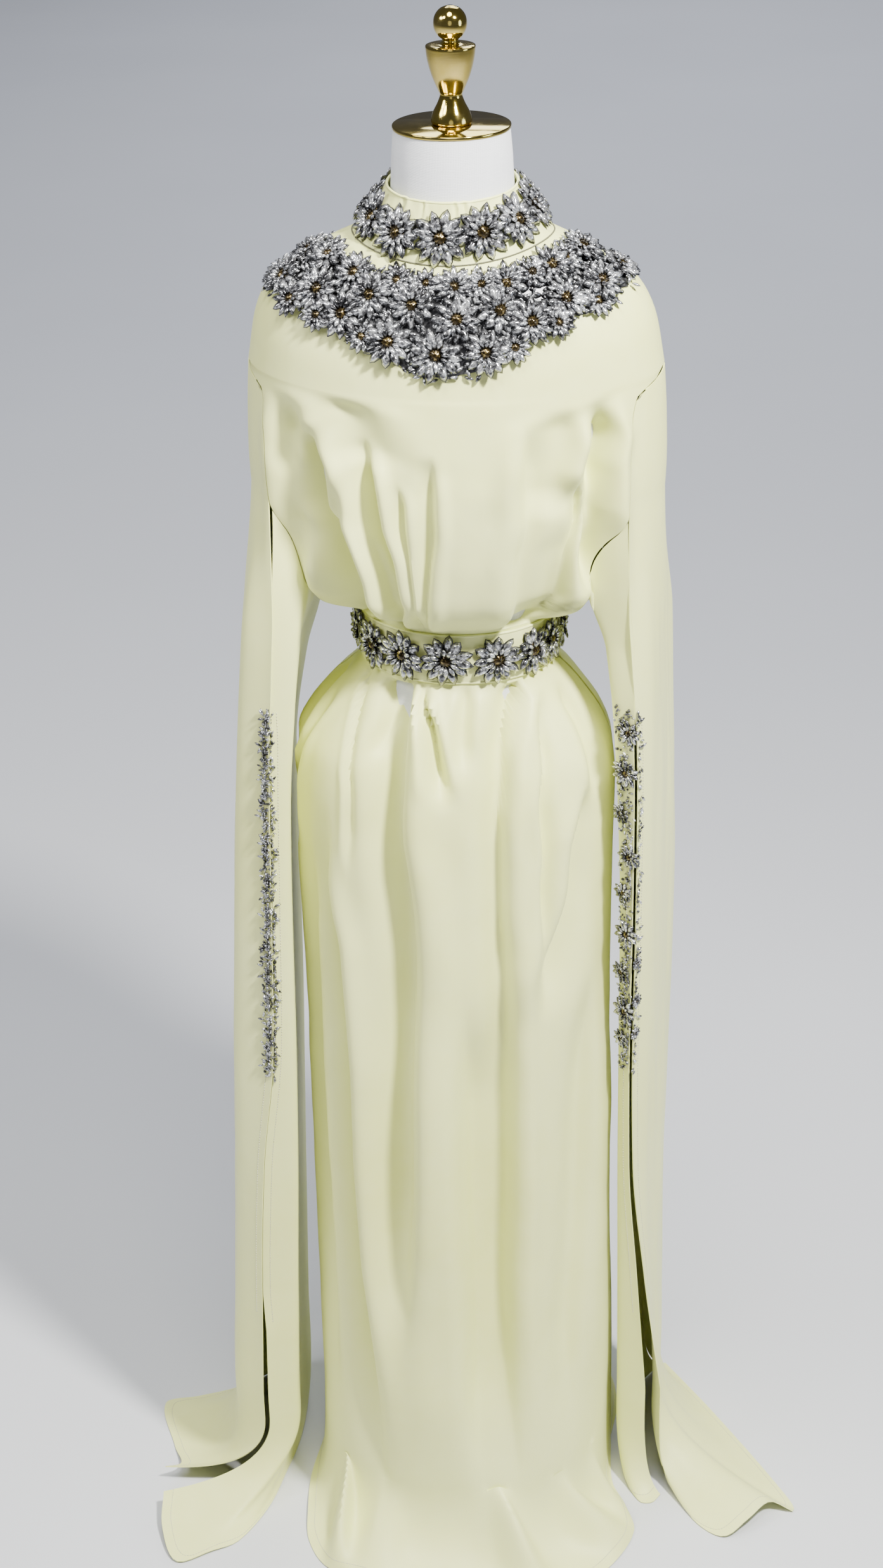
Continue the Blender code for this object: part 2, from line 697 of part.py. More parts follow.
def flower_relief(points, centres, radii):
    """Height of flowers over points: a low dome of petals round a taller heart."""
    relief = np.zeros(points.shape[:-1])
    for centre, radius in zip(centres, radii):
        apart = np.linalg.norm(points - centre, axis=-1) / radius
        petals = PETAL_RELIEF * np.sqrt(np.clip(1 - apart ** 2, 0, 1))
        heart = HEART_RELIEF * np.clip(1 - apart / HEART_SHARE, 0, 1)
        relief = np.maximum(relief, petals + heart)
    return relief


def collar_grid(columns, ways):
    """Flared stand collar, way 0 at the top edge and 1 at its seam."""
    angle = np.linspace(0, 2 * math.pi, columns, endpoint=False)
    front = 0.5 + 0.5 * np.cos(angle)
    rows = []
    for way in ways:
        bell = way ** 1.15
        half = COLLAR_TOP_RADIUS + (yoke["half_width"][0] - COLLAR_TOP_RADIUS) * bell
        depth = COLLAR_TOP_RADIUS + (yoke["front"][0] - COLLAR_TOP_RADIUS) * bell
        rear = COLLAR_TOP_RADIUS - 0.002 + (yoke["back"][0] - COLLAR_TOP_RADIUS + 0.002) * bell
        x, y = ring(angle, half, depth, rear)
        seam = yoke_points(angle, np.zeros(columns))[:, 2] + SEAM_GAP
        top = COLLAR_TOP_Z - COLLAR_TOP_DIP * front
        rows.append(np.stack([x, y, top + (seam - top) * way], -1))
    return np.array(rows)


def ring_of_flowers(grid, count):
    """Centres of flowers evenly round the middle of a closed grid, the first at the front."""
    rows, columns = grid.shape[:2]
    row = (rows - 1) / 2
    upper = grid[int(row)] + (grid[min(int(row) + 1, rows - 1)] - grid[int(row)]) * (row - int(row))
    picks = np.arange(count) / count * columns
    return [upper[int(p) % columns] + (upper[(int(p) + 1) % columns] - upper[int(p) % columns]) * (p % 1)
            for p in picks]


def make_collar(cloth_material):
    grid = collar_grid(COLLAR_COLUMNS, np.linspace(0, 1, 6))
    centres = ring_of_flowers(grid, COLLAR_FLOWERS)
    relief = flower_relief(grid, centres, [COLLAR_FLOWER_RADIUS] * COLLAR_FLOWERS)
    relief[0] = relief[-1] = 0
    between("collar", cloth_material, moved_out(grid, relief), moved_out(grid, -COLLAR_WALL), closed=True)


def make_belt(cloth_material):
    angle = np.linspace(0, 2 * math.pi, BELT_COLUMNS, endpoint=False)
    rows = []
    for z in np.linspace(BELT_TOP_Z, BELT_BOTTOM_Z, 5):
        x, y = ring(angle, BELT_HALF_WIDTH, BELT_FRONT, BELT_BACK)
        rows.append(np.stack([x, y, np.full(BELT_COLUMNS, z)], -1))
    grid = np.array(rows)
    centres = ring_of_flowers(grid, BELT_FLOWERS)
    relief = flower_relief(grid, centres, [BELT_FLOWER_RADIUS] * BELT_FLOWERS)
    between("belt", cloth_material, moved_out(grid, relief), moved_out(grid, -BELT_WALL), closed=True)


def make_yoke_flowers(crystal):
    """Crescent of packed flowers that follows the front panel's yoke from shoulder to shoulder."""
    bounds, flowers = table(CRESCENT), table(YOKE_FLOWERS)
    angle = np.linspace(bounds["angle"][0], bounds["angle"][-1], 33)
    top = smooth(bounds["angle"], bounds["top_way"], angle)
    bottom = smooth(bounds["angle"], bounds["bottom_way"], angle)
    grid = np.array([yoke_points(np.radians(angle), top + (bottom - top) * t) for t in np.linspace(0, 1, 6)])
    centres = [yoke_points(np.radians(a), w) for a, w in zip(flowers["angle"], flowers["way"])]
    relief = flower_relief(grid, centres, flowers["radius"])
    between("yoke_flowers", crystal, moved_out(grid, TRIM_LIFT + TRIM_BASE + relief), moved_out(grid, TRIM_LIFT))


def make_slit_trim(name, crystal, columns, side, face):
    """Strip of flowers beside one edge of a sleeve's slit."""
    share = np.linspace(TRIM_START_SHARE, TRIM_SHARES[(side, face)], 4)
    grid = np.array([sleeve_points(columns, side, z, share, face)
                     for z in np.linspace(SLIT_TRIM_TOP_Z, SLIT_TRIM_END_Z, 13)])
    if side * face < 0:
        grid = grid[:, ::-1]
    middle = grid.mean(axis=1)
    centres = [middle[i] for i in range(1, len(middle) - 1, 2)]
    relief = flower_relief(grid, centres, [SLIT_FLOWER_RADIUS] * len(centres))
    between(name, crystal, moved_out(grid, TRIM_LIFT + TRIM_BASE + relief), moved_out(grid, TRIM_LIFT))


def make_torso(linen):
    """Closed torso and neck; its shoulders follow the yoke's inside, so the kaftan rests on them."""
    sides = 28
    angle = np.linspace(0, 2 * math.pi, sides, endpoint=False)
    rows = []
    for part in (table(NECK), None, table(TRUNK)):
        if part is None:
            ways = np.linspace(0.0, SHOULDER_WAY, 4)
            yoke_rows = np.array([yoke_points(angle, np.full(sides, way)) for way in ways])
            rows += list(moved_out(yoke_rows, -(WALL + FORM_GAP)))
            continue
        for half, front, back, side_z, front_z, back_z in zip(*part.values()):
            x, y = ring(angle, half, front, back)
            middle = np.where(np.cos(angle) > 0, front_z, back_z)
            rows.append(np.stack([x, y, side_z + (middle - side_z) * np.cos(angle) ** 2], -1))
    grid = np.array(rows)
    count = len(grid) * sides
    faces = [tuple(range(sides)), tuple(reversed(range(count - sides, count)))]
    for r in range(len(grid) - 1):
        for c in range(sides):
            a, b = r * sides + c, r * sides + (c + 1) % sides
            faces.append((a, a + sides, b + sides, b))
    node("form_torso", linen, grid.reshape(-1, 3), faces)


def profile(text):
    columns = table(text)
    return columns["radius"], columns["height"]


def main():
    for old in list(bpy.data.objects):
        bpy.data.objects.remove(old, do_unlink=True)
    satin = material("cream_satin", (0.80, 0.79, 0.58), 0.55)
    crystal = material("crystal", (0.62, 0.62, 0.60), 0.25)
    linen = material("white_linen", (0.82, 0.83, 0.86), 0.85)
    brass = material("polished_brass", (0.83, 0.64, 0.28), 0.18, 1.0)
    steel = material("brushed_steel", (0.62, 0.62, 0.63), 0.35, 1.0)

    cloth("front_panel", satin, panel_grid(0, FRONT_COLUMNS, FRONT_HEM, FRONT_FLOOR_ROWS))
    cloth("back_panel", satin, panel_grid(180, BACK_COLUMNS, BACK_HEM, BACK_FLOOR_ROWS))
    make_collar(satin)
    make_belt(satin)
    make_yoke_flowers(crystal)
    for side, label, text, outer_hem, inner_hem in (
            (-1, "left", SLEEVE_LEFT, HEM_OUTER_LEFT, HEM_INNER_LEFT),
            (1, "right", SLEEVE_RIGHT, HEM_OUTER_RIGHT, HEM_INNER_RIGHT)):
        columns = table(text)
        cloth(f"sleeve_outer_{label}", satin, sleeve_outer_grid(columns, side, outer_hem))
        cloth(f"sleeve_inner_{label}", satin, sleeve_inner_grid(columns, side, inner_hem))
        make_slit_trim(f"slit_trim_outer_{label}", crystal, columns, side, 1)
        make_slit_trim(f"slit_trim_inner_{label}", crystal, columns, side, -1)

    make_torso(linen)
    turned("neck_cap", brass, profile(CAP_PROFILE), 32)
    turned("finial", brass, profile(FINIAL_PROFILE), 16)
    turned("stand_pole", steel, ([POLE_RADIUS] * 2, [BASE_THICKNESS + SEAM_GAP, POLE_TOP_Z]), 16)
    turned("stand_base", steel, profile(BASE_PROFILE), 36)


main()
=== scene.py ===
"""Kaftan with cape sleeves on a limbless dress form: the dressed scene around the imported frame.

Metres, +Z up, front towards -Y, left and right as the viewer sees them.
"""

import math

import bpy
import numpy as np
from mathutils import Matrix, Vector


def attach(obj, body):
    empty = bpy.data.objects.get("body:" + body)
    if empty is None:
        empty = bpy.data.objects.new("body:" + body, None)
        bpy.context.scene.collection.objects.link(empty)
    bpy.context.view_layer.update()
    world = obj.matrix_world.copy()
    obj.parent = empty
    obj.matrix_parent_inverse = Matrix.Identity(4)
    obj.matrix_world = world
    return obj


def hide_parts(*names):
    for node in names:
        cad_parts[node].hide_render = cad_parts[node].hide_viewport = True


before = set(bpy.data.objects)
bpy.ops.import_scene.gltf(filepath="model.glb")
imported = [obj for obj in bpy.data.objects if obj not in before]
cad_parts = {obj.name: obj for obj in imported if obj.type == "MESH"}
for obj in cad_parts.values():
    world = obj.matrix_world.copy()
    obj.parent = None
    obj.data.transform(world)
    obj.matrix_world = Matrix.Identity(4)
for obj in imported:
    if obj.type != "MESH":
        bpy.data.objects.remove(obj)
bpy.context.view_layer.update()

# Camera of the photograph: a lens 4000 pixels long in a picture 2475 high, turned a little to the right
PICTURE_HEIGHT = 2475
LENS_PIXELS = 4000
CAMERA_TURN = math.radians(8.0)
CAMERA_DISTANCE = 2.30
CAMERA_HEIGHT = 2.065
CAMERA_PITCH = math.radians(27.70)
CAMERA_ROLL = 0.0192
CAMERA_ASIDE = 0.0205
SENSOR_HEIGHT = 36.0

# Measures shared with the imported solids
SEAM_GAP = 0.0005
FORM_GAP = 0.0009
PANEL_EDGE_DEGREES = 89.8
SLIT_GAP = 0.0021
CAP_GAP = 0.0016
FLOOR_BEND = 0.92
LEAST_FALL = 0.3
FLOOR_ROW_POWER = 0.9
SLEEVE_PLAN_KNOTS = (0.0, 0.16, 0.50, 0.84, 1.0)
OUTER_CORNER_SETBACK = 0.024
INNER_CORNER_SETBACK = 0.016
BACK_CORNER_SETBACK = 0.030
SLEEVE_BOW = 0.005
UNDERARM_Z = 1.084
SLEEVE_SEAM_Z = 1.190
CORNER_DROP = 0.010
RING_RADIUS = 0.13
POLE_TOP_Z = 0.8095
POLE_RADIUS = 0.0125
BASE_THICKNESS = 0.0060
SHOULDER_WAY = 0.60
COLLAR_TOP_RADIUS = 0.0608
COLLAR_TOP_Z = 1.4830
COLLAR_TOP_DIP = 0.0100
COLLAR_WALL = 0.0018
BELT_TOP_Z = 1.0622
BELT_BOTTOM_Z = 1.0130
BELT_HALF_WIDTH = 0.0985
BELT_FRONT = 0.0880
BELT_BACK = 0.0835
BELT_WALL = 0.0018
PIPING_RADIUS = 0.0014
ROLLED_EDGE_RADIUS = 0.0013
# Radius of the thin dark cord painted as the shadow in the collar's seam
SEAM_SHADOW_RADIUS = 0.0007
SLIT_TRIM_TOP_Z = 0.985
SLIT_TRIM_END_Z = 0.575
# Slit trims by side, -1 left or 1 right, and face, 1 outer or -1 inner: width as a share, stones per step
TRIM_SHARES = {(-1, 1): 0.030, (-1, -1): 0.012, (1, 1): 0.018, (1, -1): 0.110}
TRIM_STONES = {(-1, 1): 5, (-1, -1): 2, (1, 1): 1, (1, -1): 4}

# Yoke rings from the collar seam out to the shoulder point
YOKE = """
half_width front back  side_z front_z back_z
0.0930     0.0750 0.062 1.4340 1.4200 1.440
0.1180     0.0870 0.079 1.4230 1.4000 1.424
0.1480     0.0985 0.092 1.4065 1.3730 1.401
0.1720     0.1080 0.101 1.3885 1.3480 1.376
0.1880     0.1140 0.107 1.3570 1.3260 1.346
0.1965     0.1180 0.110 1.3120 1.3070 1.310
"""
# Level sections of the body below the yoke. A squareness of 1 is an ellipse, less is boxier.
BODY = """
height half_width front  back   squareness shift
1.3060 0.1970     0.1185 0.1105 1.00        0.000
1.2980 0.1978     0.1200 0.1110 1.00        0.000
1.2600 0.2000     0.1250 0.1130 1.00        0.000
1.2200 0.2010     0.1290 0.1140 1.00        0.000
1.1900 0.2000     0.1300 0.1140 1.00        0.000
1.1540 0.1810     0.1290 0.1130 1.00        0.000
1.1200 0.1700     0.1250 0.1110 1.00        0.000
1.1060 0.1640     0.1220 0.1090 1.00        0.000
1.0950 0.1520     0.1170 0.1060 1.00        0.000
1.0840 0.1380     0.1090 0.1000 1.00        0.000
1.0740 0.1140     0.0990 0.0910 1.00        0.000
1.0680 0.1000     0.0900 0.0840 1.00        0.000
1.0640 0.0966     0.0861 0.0816 1.00        0.000
1.0600 0.0962     0.0857 0.0812 1.00        0.000
1.0120 0.0962     0.0857 0.0812 1.00        0.000
1.0080 0.0972     0.0868 0.0818 1.00        0.000
1.0000 0.1060     0.0935 0.0865 1.00        0.000
0.9800 0.1250     0.1050 0.0990 1.00       -0.002
0.9500 0.1470     0.1180 0.1130 0.98       -0.004
0.9200 0.1600     0.1290 0.1230 0.95       -0.006
0.8800 0.1640     0.1370 0.1300 0.93       -0.006
0.8000 0.1630     0.1440 0.1350 0.90       -0.006
0.6000 0.1620     0.1580 0.1420 0.86       -0.005
0.4000 0.1610     0.1740 0.1480 0.83       -0.004
0.2000 0.1620     0.1900 0.1540 0.80       -0.002
0.0900 0.1640     0.1990 0.1580 0.79        0.000
"""
# Where the panels' side edge runs: degrees round from the panel's middle
ARMHOLE = """
height edge_angle
1.3120 89.8
1.3060 76.0
1.3010 67.0
1.2950 62.0
1.2600 58.0
1.2200 57.0
1.1900 56.5
1.1540 56.0
1.1200 56.0
1.1060 57.0
1.0950 66.0
1.0840 89.0
"""
# Hems on the floor
FRONT_HEM = """
x       y      z
-0.166  0.000  0.000
-0.170 -0.050  0.000
-0.173 -0.105  0.000
-0.166 -0.165  0.004
-0.158 -0.205  0.000
-0.132 -0.243  0.000
-0.085 -0.262  0.006
-0.040 -0.268  0.000
 0.010 -0.270  0.000
 0.060 -0.268  0.000
 0.110 -0.258  0.000
 0.152 -0.236  0.000
 0.184 -0.200  0.000
 0.202 -0.150  0.000
 0.190 -0.118  0.006
 0.172 -0.075  0.000
 0.165  0.000  0.000
"""
BACK_HEM = """
x       y      z
 0.165  0.000  0.000
 0.168  0.060  0.000
 0.150  0.120  0.000
 0.095  0.163  0.000
 0.040  0.172  0.000
-0.020  0.170  0.000
-0.080  0.165  0.000
-0.142  0.122  0.000
-0.166  0.060  0.000
-0.166  0.000  0.000
"""
# Folds of the back and sides: where each starts and ends, how wide its trough is and how deep
FOLDS = """
top_angle end_angle top_z  end_z  width depth
150.0     152.0     1.2500 1.0700 0.014 0.010
166.0     168.0     1.2200 1.0700 0.010 0.007
180.0     181.0     1.2500 1.0700 0.014 0.010
196.0     194.0     1.2200 1.0700 0.010 0.007
212.0     209.0     1.2500 1.0700 0.014 0.010
 96.0      92.0     0.9600 0.0500 0.016 0.009
112.0     108.0     0.9900 0.0500 0.018 0.011
124.0     122.0     0.9600 0.3000 0.010 0.005
138.0     134.0     1.0050 0.0500 0.018 0.015
150.0     147.0     0.9900 0.4500 0.009 0.006
162.0     160.0     1.0050 0.0500 0.018 0.012
175.0     176.0     1.0050 0.5000 0.010 0.007
188.0     192.0     1.0050 0.0500 0.018 0.015
202.0     206.0     0.9900 0.4500 0.009 0.006
214.0     220.0     1.0050 0.0500 0.018 0.013
231.0     236.0     0.9700 0.3000 0.010 0.006
246.0     250.0     0.9900 0.0500 0.018 0.011
-86.0     -82.0     0.9500 0.0500 0.016 0.008
"""
# Folds of the front, traced: trough width and depth, the steep side (-1 left, 1 right, 0 neither),
# then angle and height down the line
CREASES = (
    (0.0110, 0.023, 0, "-38 1.280 -40 1.255 -38 1.232 -38 1.201 -36 1.171 -36 1.141 -38 1.105 -46 1.070"),
    (0.0130, 0.012, 0, "-50 1.300 -48 1.284 -48 1.249 -46 1.213 -46 1.167 -47 1.120"),
    (0.0070, 0.008, 0, "-30 1.235 -30 1.189 -30 1.161 -29 1.127 -31 1.095 -38 1.066"),
    (0.0055, 0.012, 1, "-22 1.270 -19 1.234 -18 1.211 -17 1.178 -16 1.140 -16 1.104 -26 1.062"),
    (0.0045, 0.006, 1, "-2 1.262 -2 1.225 -2 1.185 -4 1.142 -6 1.100 -11 1.062"),
    (0.0040, 0.005, 1, "-12 1.235 -10 1.208 -10 1.170 -10 1.121 -11 1.090 -15 1.060"),
    (0.0040, 0.004, 0, "-22 1.180 -21 1.150 -20 1.115 -21 1.090 -31 1.062"),
    (0.0080, 0.006, -1, "24 1.290 24 1.272 24 1.197 26 1.111 30 1.085 42 1.060"),
    (0.0100, 0.020, 0, "46 1.306 46 1.298 48 1.266 46 1.234 46 1.198 50 1.157 53 1.120 57 1.085"),
    (0.0100, 0.014, 1, "40 1.240 40 1.202 41 1.168 42 1.125 43 1.100 47 1.068"),
    (0.0160, 0.006, 0, "38 1.300 34 1.281 32 1.247 30 1.217 30 1.190"),
    (0.0180, 0.005, 0, "-34 1.306 -28 1.302 -22 1.264 -20 1.240"),
    (0.0030, 0.0035, -1, "-60 1.006 -50 0.991 -42 0.963 -36 0.931 -33 0.890 -33 0.845 -32 0.810"),
    (0.0120, 0.017, 1, "-24 1.006 -20 0.984 -17 0.954 -14 0.915 -14 0.873 -12 0.828 -10 0.781 -9 0.719"
                       " -10 0.606 -10 0.480 -11 0.360 -12 0.250"),
    (0.0050, 0.010, 0, "-14 1.007 -12 0.995 -6 0.975 -1 0.937 2 0.900"),
    (0.0100, 0.012, 1, "41 1.007 31 0.979 24 0.948 22 0.915 20 0.875 20 0.830 20 0.784 21 0.736 22 0.607"
                       " 22 0.450 21 0.330 22 0.153 23 0.060"),
    (0.0050, 0.006, -1, "50 1.000 46 0.986 42 0.963 39 0.930 36 0.892 37 0.849 36 0.802 36 0.745 36 0.690"),
    (0.0140, 0.011, -1, "60 0.910 58 0.882 53 0.841 52 0.802 46 0.750 40 0.710 37 0.650"),
    (0.0120, 0.016, 1, "-46 0.885 -44 0.845 -46 0.803 -44 0.770 -40 0.728 -38 0.665 -36 0.581 -36 0.502"
                       " -34 0.373 -28 0.250 -24 0.137 -20 0.050"),
    (0.0190, 0.017, -1, "8 0.700 8 0.604 8 0.480 9 0.374 9 0.240 10 0.129 11 0.050"),
    (0.0140, 0.006, 1, "-58 0.860 -57 0.700 -56 0.500 -52 0.300 -48 0.120"),
    (0.0160, 0.008, 1, "62 0.700 60 0.550 58 0.400 52 0.250 50 0.100"),
    (0.0090, 0.007, 0, "-71 0.990 -68 0.970 -70 0.930 -74 0.880 -76 0.800"),
    (0.0080, 0.006, 0, "-82 1.000 -80 0.960 -82 0.900"),
    (0.0090, 0.006, 0, "70 1.000 66 0.970 66 0.930 68 0.870"),
    (0.0060, 0.005, 0, "-36 1.007 -32 0.990 -27 0.965 -26 0.930"),
    (0.0060, 0.005, 0, "10 1.007 9 0.990 8 0.960 8 0.930"),
    (0.0500, -0.0035, 0, "-92 0.620 -92 0.400 -92 0.200 -92 0.050"),
    (0.0500, -0.0035, 0, "92 0.620 92 0.400 92 0.200 92 0.050"),
)
# Folds that run out over the floor: share along the hem, drift, width in shares and height
FRONT_FLOOR_FOLDS = ((0.26, 0.07, 0.020, 0.044), (0.40, -0.02, 0.050, 0.020), (0.58, 0.04, 0.026, 0.044),
                     (0.73, 0.05, 0.034, 0.030), (0.86, -0.02, 0.026, 0.022))
BACK_FLOOR_FOLDS = ((0.18, 0.02, 0.05, 0.018), (0.42, -0.02, 0.06, 0.022), (0.66, 0.02, 0.05, 0.020),
                    (0.86, 0.00, 0.04, 0.014))
# Level sections of the hanging sleeves
SLEEVE_LEFT = """
height front_x front_y outer_x outer_back_x back_x back_y inner_back_x inner_x slit_open lap_z
1.3000 0.1770  -0.0530 0.1945 0.1960 0.1760 0.0500 0.1760 0.1760 0.000 0.230
1.1900 0.1685  -0.0760 0.1985 0.2000 0.1700 0.0790 0.1600 0.1600 0.000 0.230
1.0840 0.1665  -0.1000 0.2020 0.2080 0.1720 0.0840 0.1420 0.1450 0.000 0.230
1.0400 0.1685  -0.1060 0.2040 0.2110 0.1760 0.0850 0.1480 0.1460 0.000 0.230
0.9800 0.1715  -0.1110 0.2080 0.2150 0.1860 0.0850 0.1650 0.1510 0.000 0.230
0.8700 0.1750  -0.1170 0.2160 0.2230 0.1970 0.0850 0.1810 0.1590 0.000 0.230
0.7500 0.1780  -0.1210 0.2230 0.2310 0.2040 0.0840 0.1830 0.1620 0.000 0.230
0.6000 0.1830  -0.1250 0.2300 0.2400 0.2110 0.0820 0.1850 0.1640 0.000 0.230
0.4500 0.2000  -0.1280 0.2370 0.2480 0.2190 0.0800 0.1890 0.1680 0.000 0.230
0.3000 0.2090  -0.1300 0.2450 0.2560 0.2260 0.0780 0.1930 0.1740 0.000 0.230
0.1400 0.2135  -0.1310 0.2540 0.2640 0.2330 0.0760 0.1970 0.1800 0.002 0.230
"""
SLEEVE_RIGHT = """
height front_x front_y outer_x outer_back_x back_x back_y inner_back_x inner_x slit_open lap_z
1.3000 0.1770  -0.0530 0.1945 0.1960 0.1760 0.0500 0.1760 0.1760 0.000 0.995
1.1900 0.1690  -0.0690 0.1960 0.2000 0.1700 0.0850 0.1600 0.1600 0.000 0.995
1.0840 0.1720  -0.0720 0.1940 0.2050 0.1740 0.1000 0.1420 0.1450 0.000 0.995
1.0400 0.1755  -0.0730 0.1945 0.2065 0.1780 0.1040 0.1480 0.1500 0.000 0.995
0.9800 0.1800  -0.0740 0.1960 0.2090 0.1840 0.1080 0.1570 0.1570 0.000 0.995
0.8700 0.1830  -0.0745 0.1985 0.2130 0.1890 0.1120 0.1660 0.1640 0.000 0.995
0.7500 0.1835  -0.0750 0.2000 0.2160 0.1920 0.1150 0.1720 0.1680 0.000 0.995
0.6000 0.1830  -0.0750 0.2010 0.2170 0.1930 0.1170 0.1740 0.1690 0.000 0.995
0.4500 0.1850  -0.0748 0.2020 0.2150 0.1930 0.1180 0.1750 0.1700 0.001 0.995
0.3000 0.1960  -0.0732 0.2080 0.2130 0.1930 0.1180 0.1760 0.1720 0.005 0.995
0.1400 0.2085  -0.0720 0.2150 0.2120 0.1930 0.1180 0.1770 0.1740 0.014 0.995
"""
HEM_OUTER_LEFT = """
x       y      z
-0.338 -0.130  0.020
-0.324 -0.112  0.010
-0.341 -0.074  0.000
-0.368 -0.003  0.000
-0.330  0.014  0.000
-0.286  0.036  0.000
-0.236  0.084  0.000
"""
HEM_INNER_LEFT = """
x       y      z
-0.330 -0.172  0.022
-0.323 -0.214  0.010
-0.298 -0.256  0.002
-0.262 -0.236  0.002
-0.236 -0.216  0.000
-0.212 -0.160  0.000
-0.202 -0.100  0.000
-0.196 -0.030  0.000
-0.206  0.040  0.000
-0.230  0.083  0.000
"""
HEM_OUTER_RIGHT = """
x       y      z
 0.242 -0.084  0.002
 0.270 -0.130  0.000
 0.302 -0.150  0.002
 0.328 -0.132  0.014
 0.352 -0.104  0.016
 0.379 -0.099  0.000
 0.362 -0.064  0.000
 0.283  0.053  0.000
 0.222  0.135  0.000
"""
HEM_INNER_RIGHT = """
x       y      z
 0.228 -0.090  0.000
 0.219 -0.104  0.000
 0.205 -0.104  0.000
 0.187 -0.070  0.000
 0.181  0.000  0.000
 0.188  0.080  0.000
 0.216  0.134  0.000
"""
# Rings of the form
NECK = """
half_width front  back   side_z front_z back_z
0.0532     0.0532 0.0532 1.5262 1.5262  1.5262
0.0550     0.0548 0.0545 1.5050 1.5050  1.5050
0.0565     0.0558 0.0552 1.4780 1.4760  1.4780
0.0585     0.0575 0.0560 1.4560 1.4500  1.4580
0.0660     0.0610 0.0570 1.4430 1.4350  1.4470
0.0800     0.0670 0.0585 1.4355 1.4240  1.4410
"""
TRUNK = """
half_width front  back   side_z front_z back_z
0.1690     0.1040 0.0970 1.3720 1.3340  1.3560
0.1705     0.1070 0.1000 1.3450 1.3100  1.3250
0.1620     0.1110 0.1010 1.2800 1.2650  1.2700
0.1460     0.1090 0.0950 1.2000 1.2000  1.2000
0.1180     0.0940 0.0860 1.1250 1.1250  1.1250
0.0960     0.0820 0.0770 1.0850 1.0850  1.0850
0.0895     0.0790 0.0740 1.0600 1.0600  1.0600
0.0895     0.0790 0.0740 1.0100 1.0100  1.0100
0.1000     0.0850 0.0830 0.9700 0.9700  0.9700
0.1270     0.1000 0.1000 0.9100 0.9100  0.9100
0.1360     0.1060 0.1060 0.8500 0.8500  0.8500
0.1320     0.1040 0.1040 0.8100 0.8100  0.8100
"""
# Turned brass and steel
FINIAL_PROFILE = """
radius height
0.0175 1.5306
0.0188 1.5325
0.0170 1.5400
0.0125 1.5490
0.0102 1.5560
0.0118 1.5600
0.0170 1.5720
0.0208 1.5850
0.0224 1.5960
0.0220 1.5995
0.0100 1.6012
0.0072 1.6040
0.0110 1.6076
0.0143 1.6130
0.0151 1.6190
0.0136 1.6256
0.0090 1.6311
0.0030 1.6336
"""
CAP_PROFILE = """
radius height
0.0532 1.5266
0.0540 1.5270
0.0540 1.5294
0.0532 1.5300
"""
BASE_PROFILE = """
radius height
0.1400 0.0000
0.1400 0.0045
0.1385 0.0060
"""
# Crescent of flowers on the yoke
CRESCENT = """
angle top_way bottom_way
-87   0.13    0.63
-64   0.12    0.65
-46   0.11    0.60
-30   0.10    0.64
-18   0.09    0.69
-2    0.06    0.83
14    0.06    0.76
21    0.08    0.69
32    0.10    0.63
46    0.10    0.59
60    0.07    0.60
87    0.09    0.58
"""
# Cloth of the dressed scene
CLOTH_WALL = 0.0011
CLOTH_FLOOR_GAP = 0.0005
CLOTH_LIFT = 0.0003
RIPPLE_HEIGHT = 0.0016
SLEEVE_RIPPLE = 0.0035
WAIST_Z = 1.037
LAST_HANGING_Z = 0.085
LAST_SLEEVE_Z = 0.105
CAP_BLEND_Z = 1.040
# Rows and columns of the meshes. A panel has columns, then rows of its bodice, skirt and floor.
SLEEVE_COLUMNS = 61
SLEEVE_TOP_ROWS = 28
SLEEVE_ROWS = 90
SLEEVE_FLOOR_ROWS = 26
FRONT_MESH = (180, 132, 100, 36)
BACK_MESH = (110, 96, 80, 26)
COLLAR_MESH = (300, 28)
BELT_MESH = (240, 14)
NET_MESH = (160, 26)
FORM_SIDES = 108
FORM_ROWS = (30, 18, 60)
# Stitching runs this far in from a hem or a slit's edge
HEM_DEPTH = 0.011
SLIT_HEM = 0.008
SLIT_STITCH_END_Z = 0.24
# Profile of a crease: how far its trough reaches on each side, where its ridge stands and how it fades
CREASE_DEPTH = 1.75
CREASE_SPREAD = 0.5
CREASE_START = 0.22
CREASE_END = 0.30
RIDGE_PLACE = 1.6
RIDGE_WIDTH = 1.1
TWIN_RIDGE_PLACE = 1.9
TWIN_RIDGE_WIDTH = 0.9
TWIN_RIDGE_HEIGHT = 0.6
UNDER_BELT_Z = 1.006
OVER_BELT_Z = 1.063
STEEP_SIDE = 0.50
SOFT_SIDE = 1.9
RIDGE_SHARE = 0.40
BELT_REACH = 0.0255
BELT_EASE = 0.016
# The sleeve's front seam above its slit, lapped so that no light shows through
CLOSED_SEAM = 0.0004
SEAM_EASE = 0.05
SEAM_LAP = 0.0035
SEAM_LAP_DEPTH = 0.0030
# Stones between the yoke's flowers, and how much wider the flowers are than their tables say
YOKE_FILL = 1700
YOKE_SPREAD = 1.15
BELT_SPREAD = 1.2
COLLAR_SPREAD = 1.24
FLOOR_RADIUS = 14.0
FLOOR_SIDES = 96

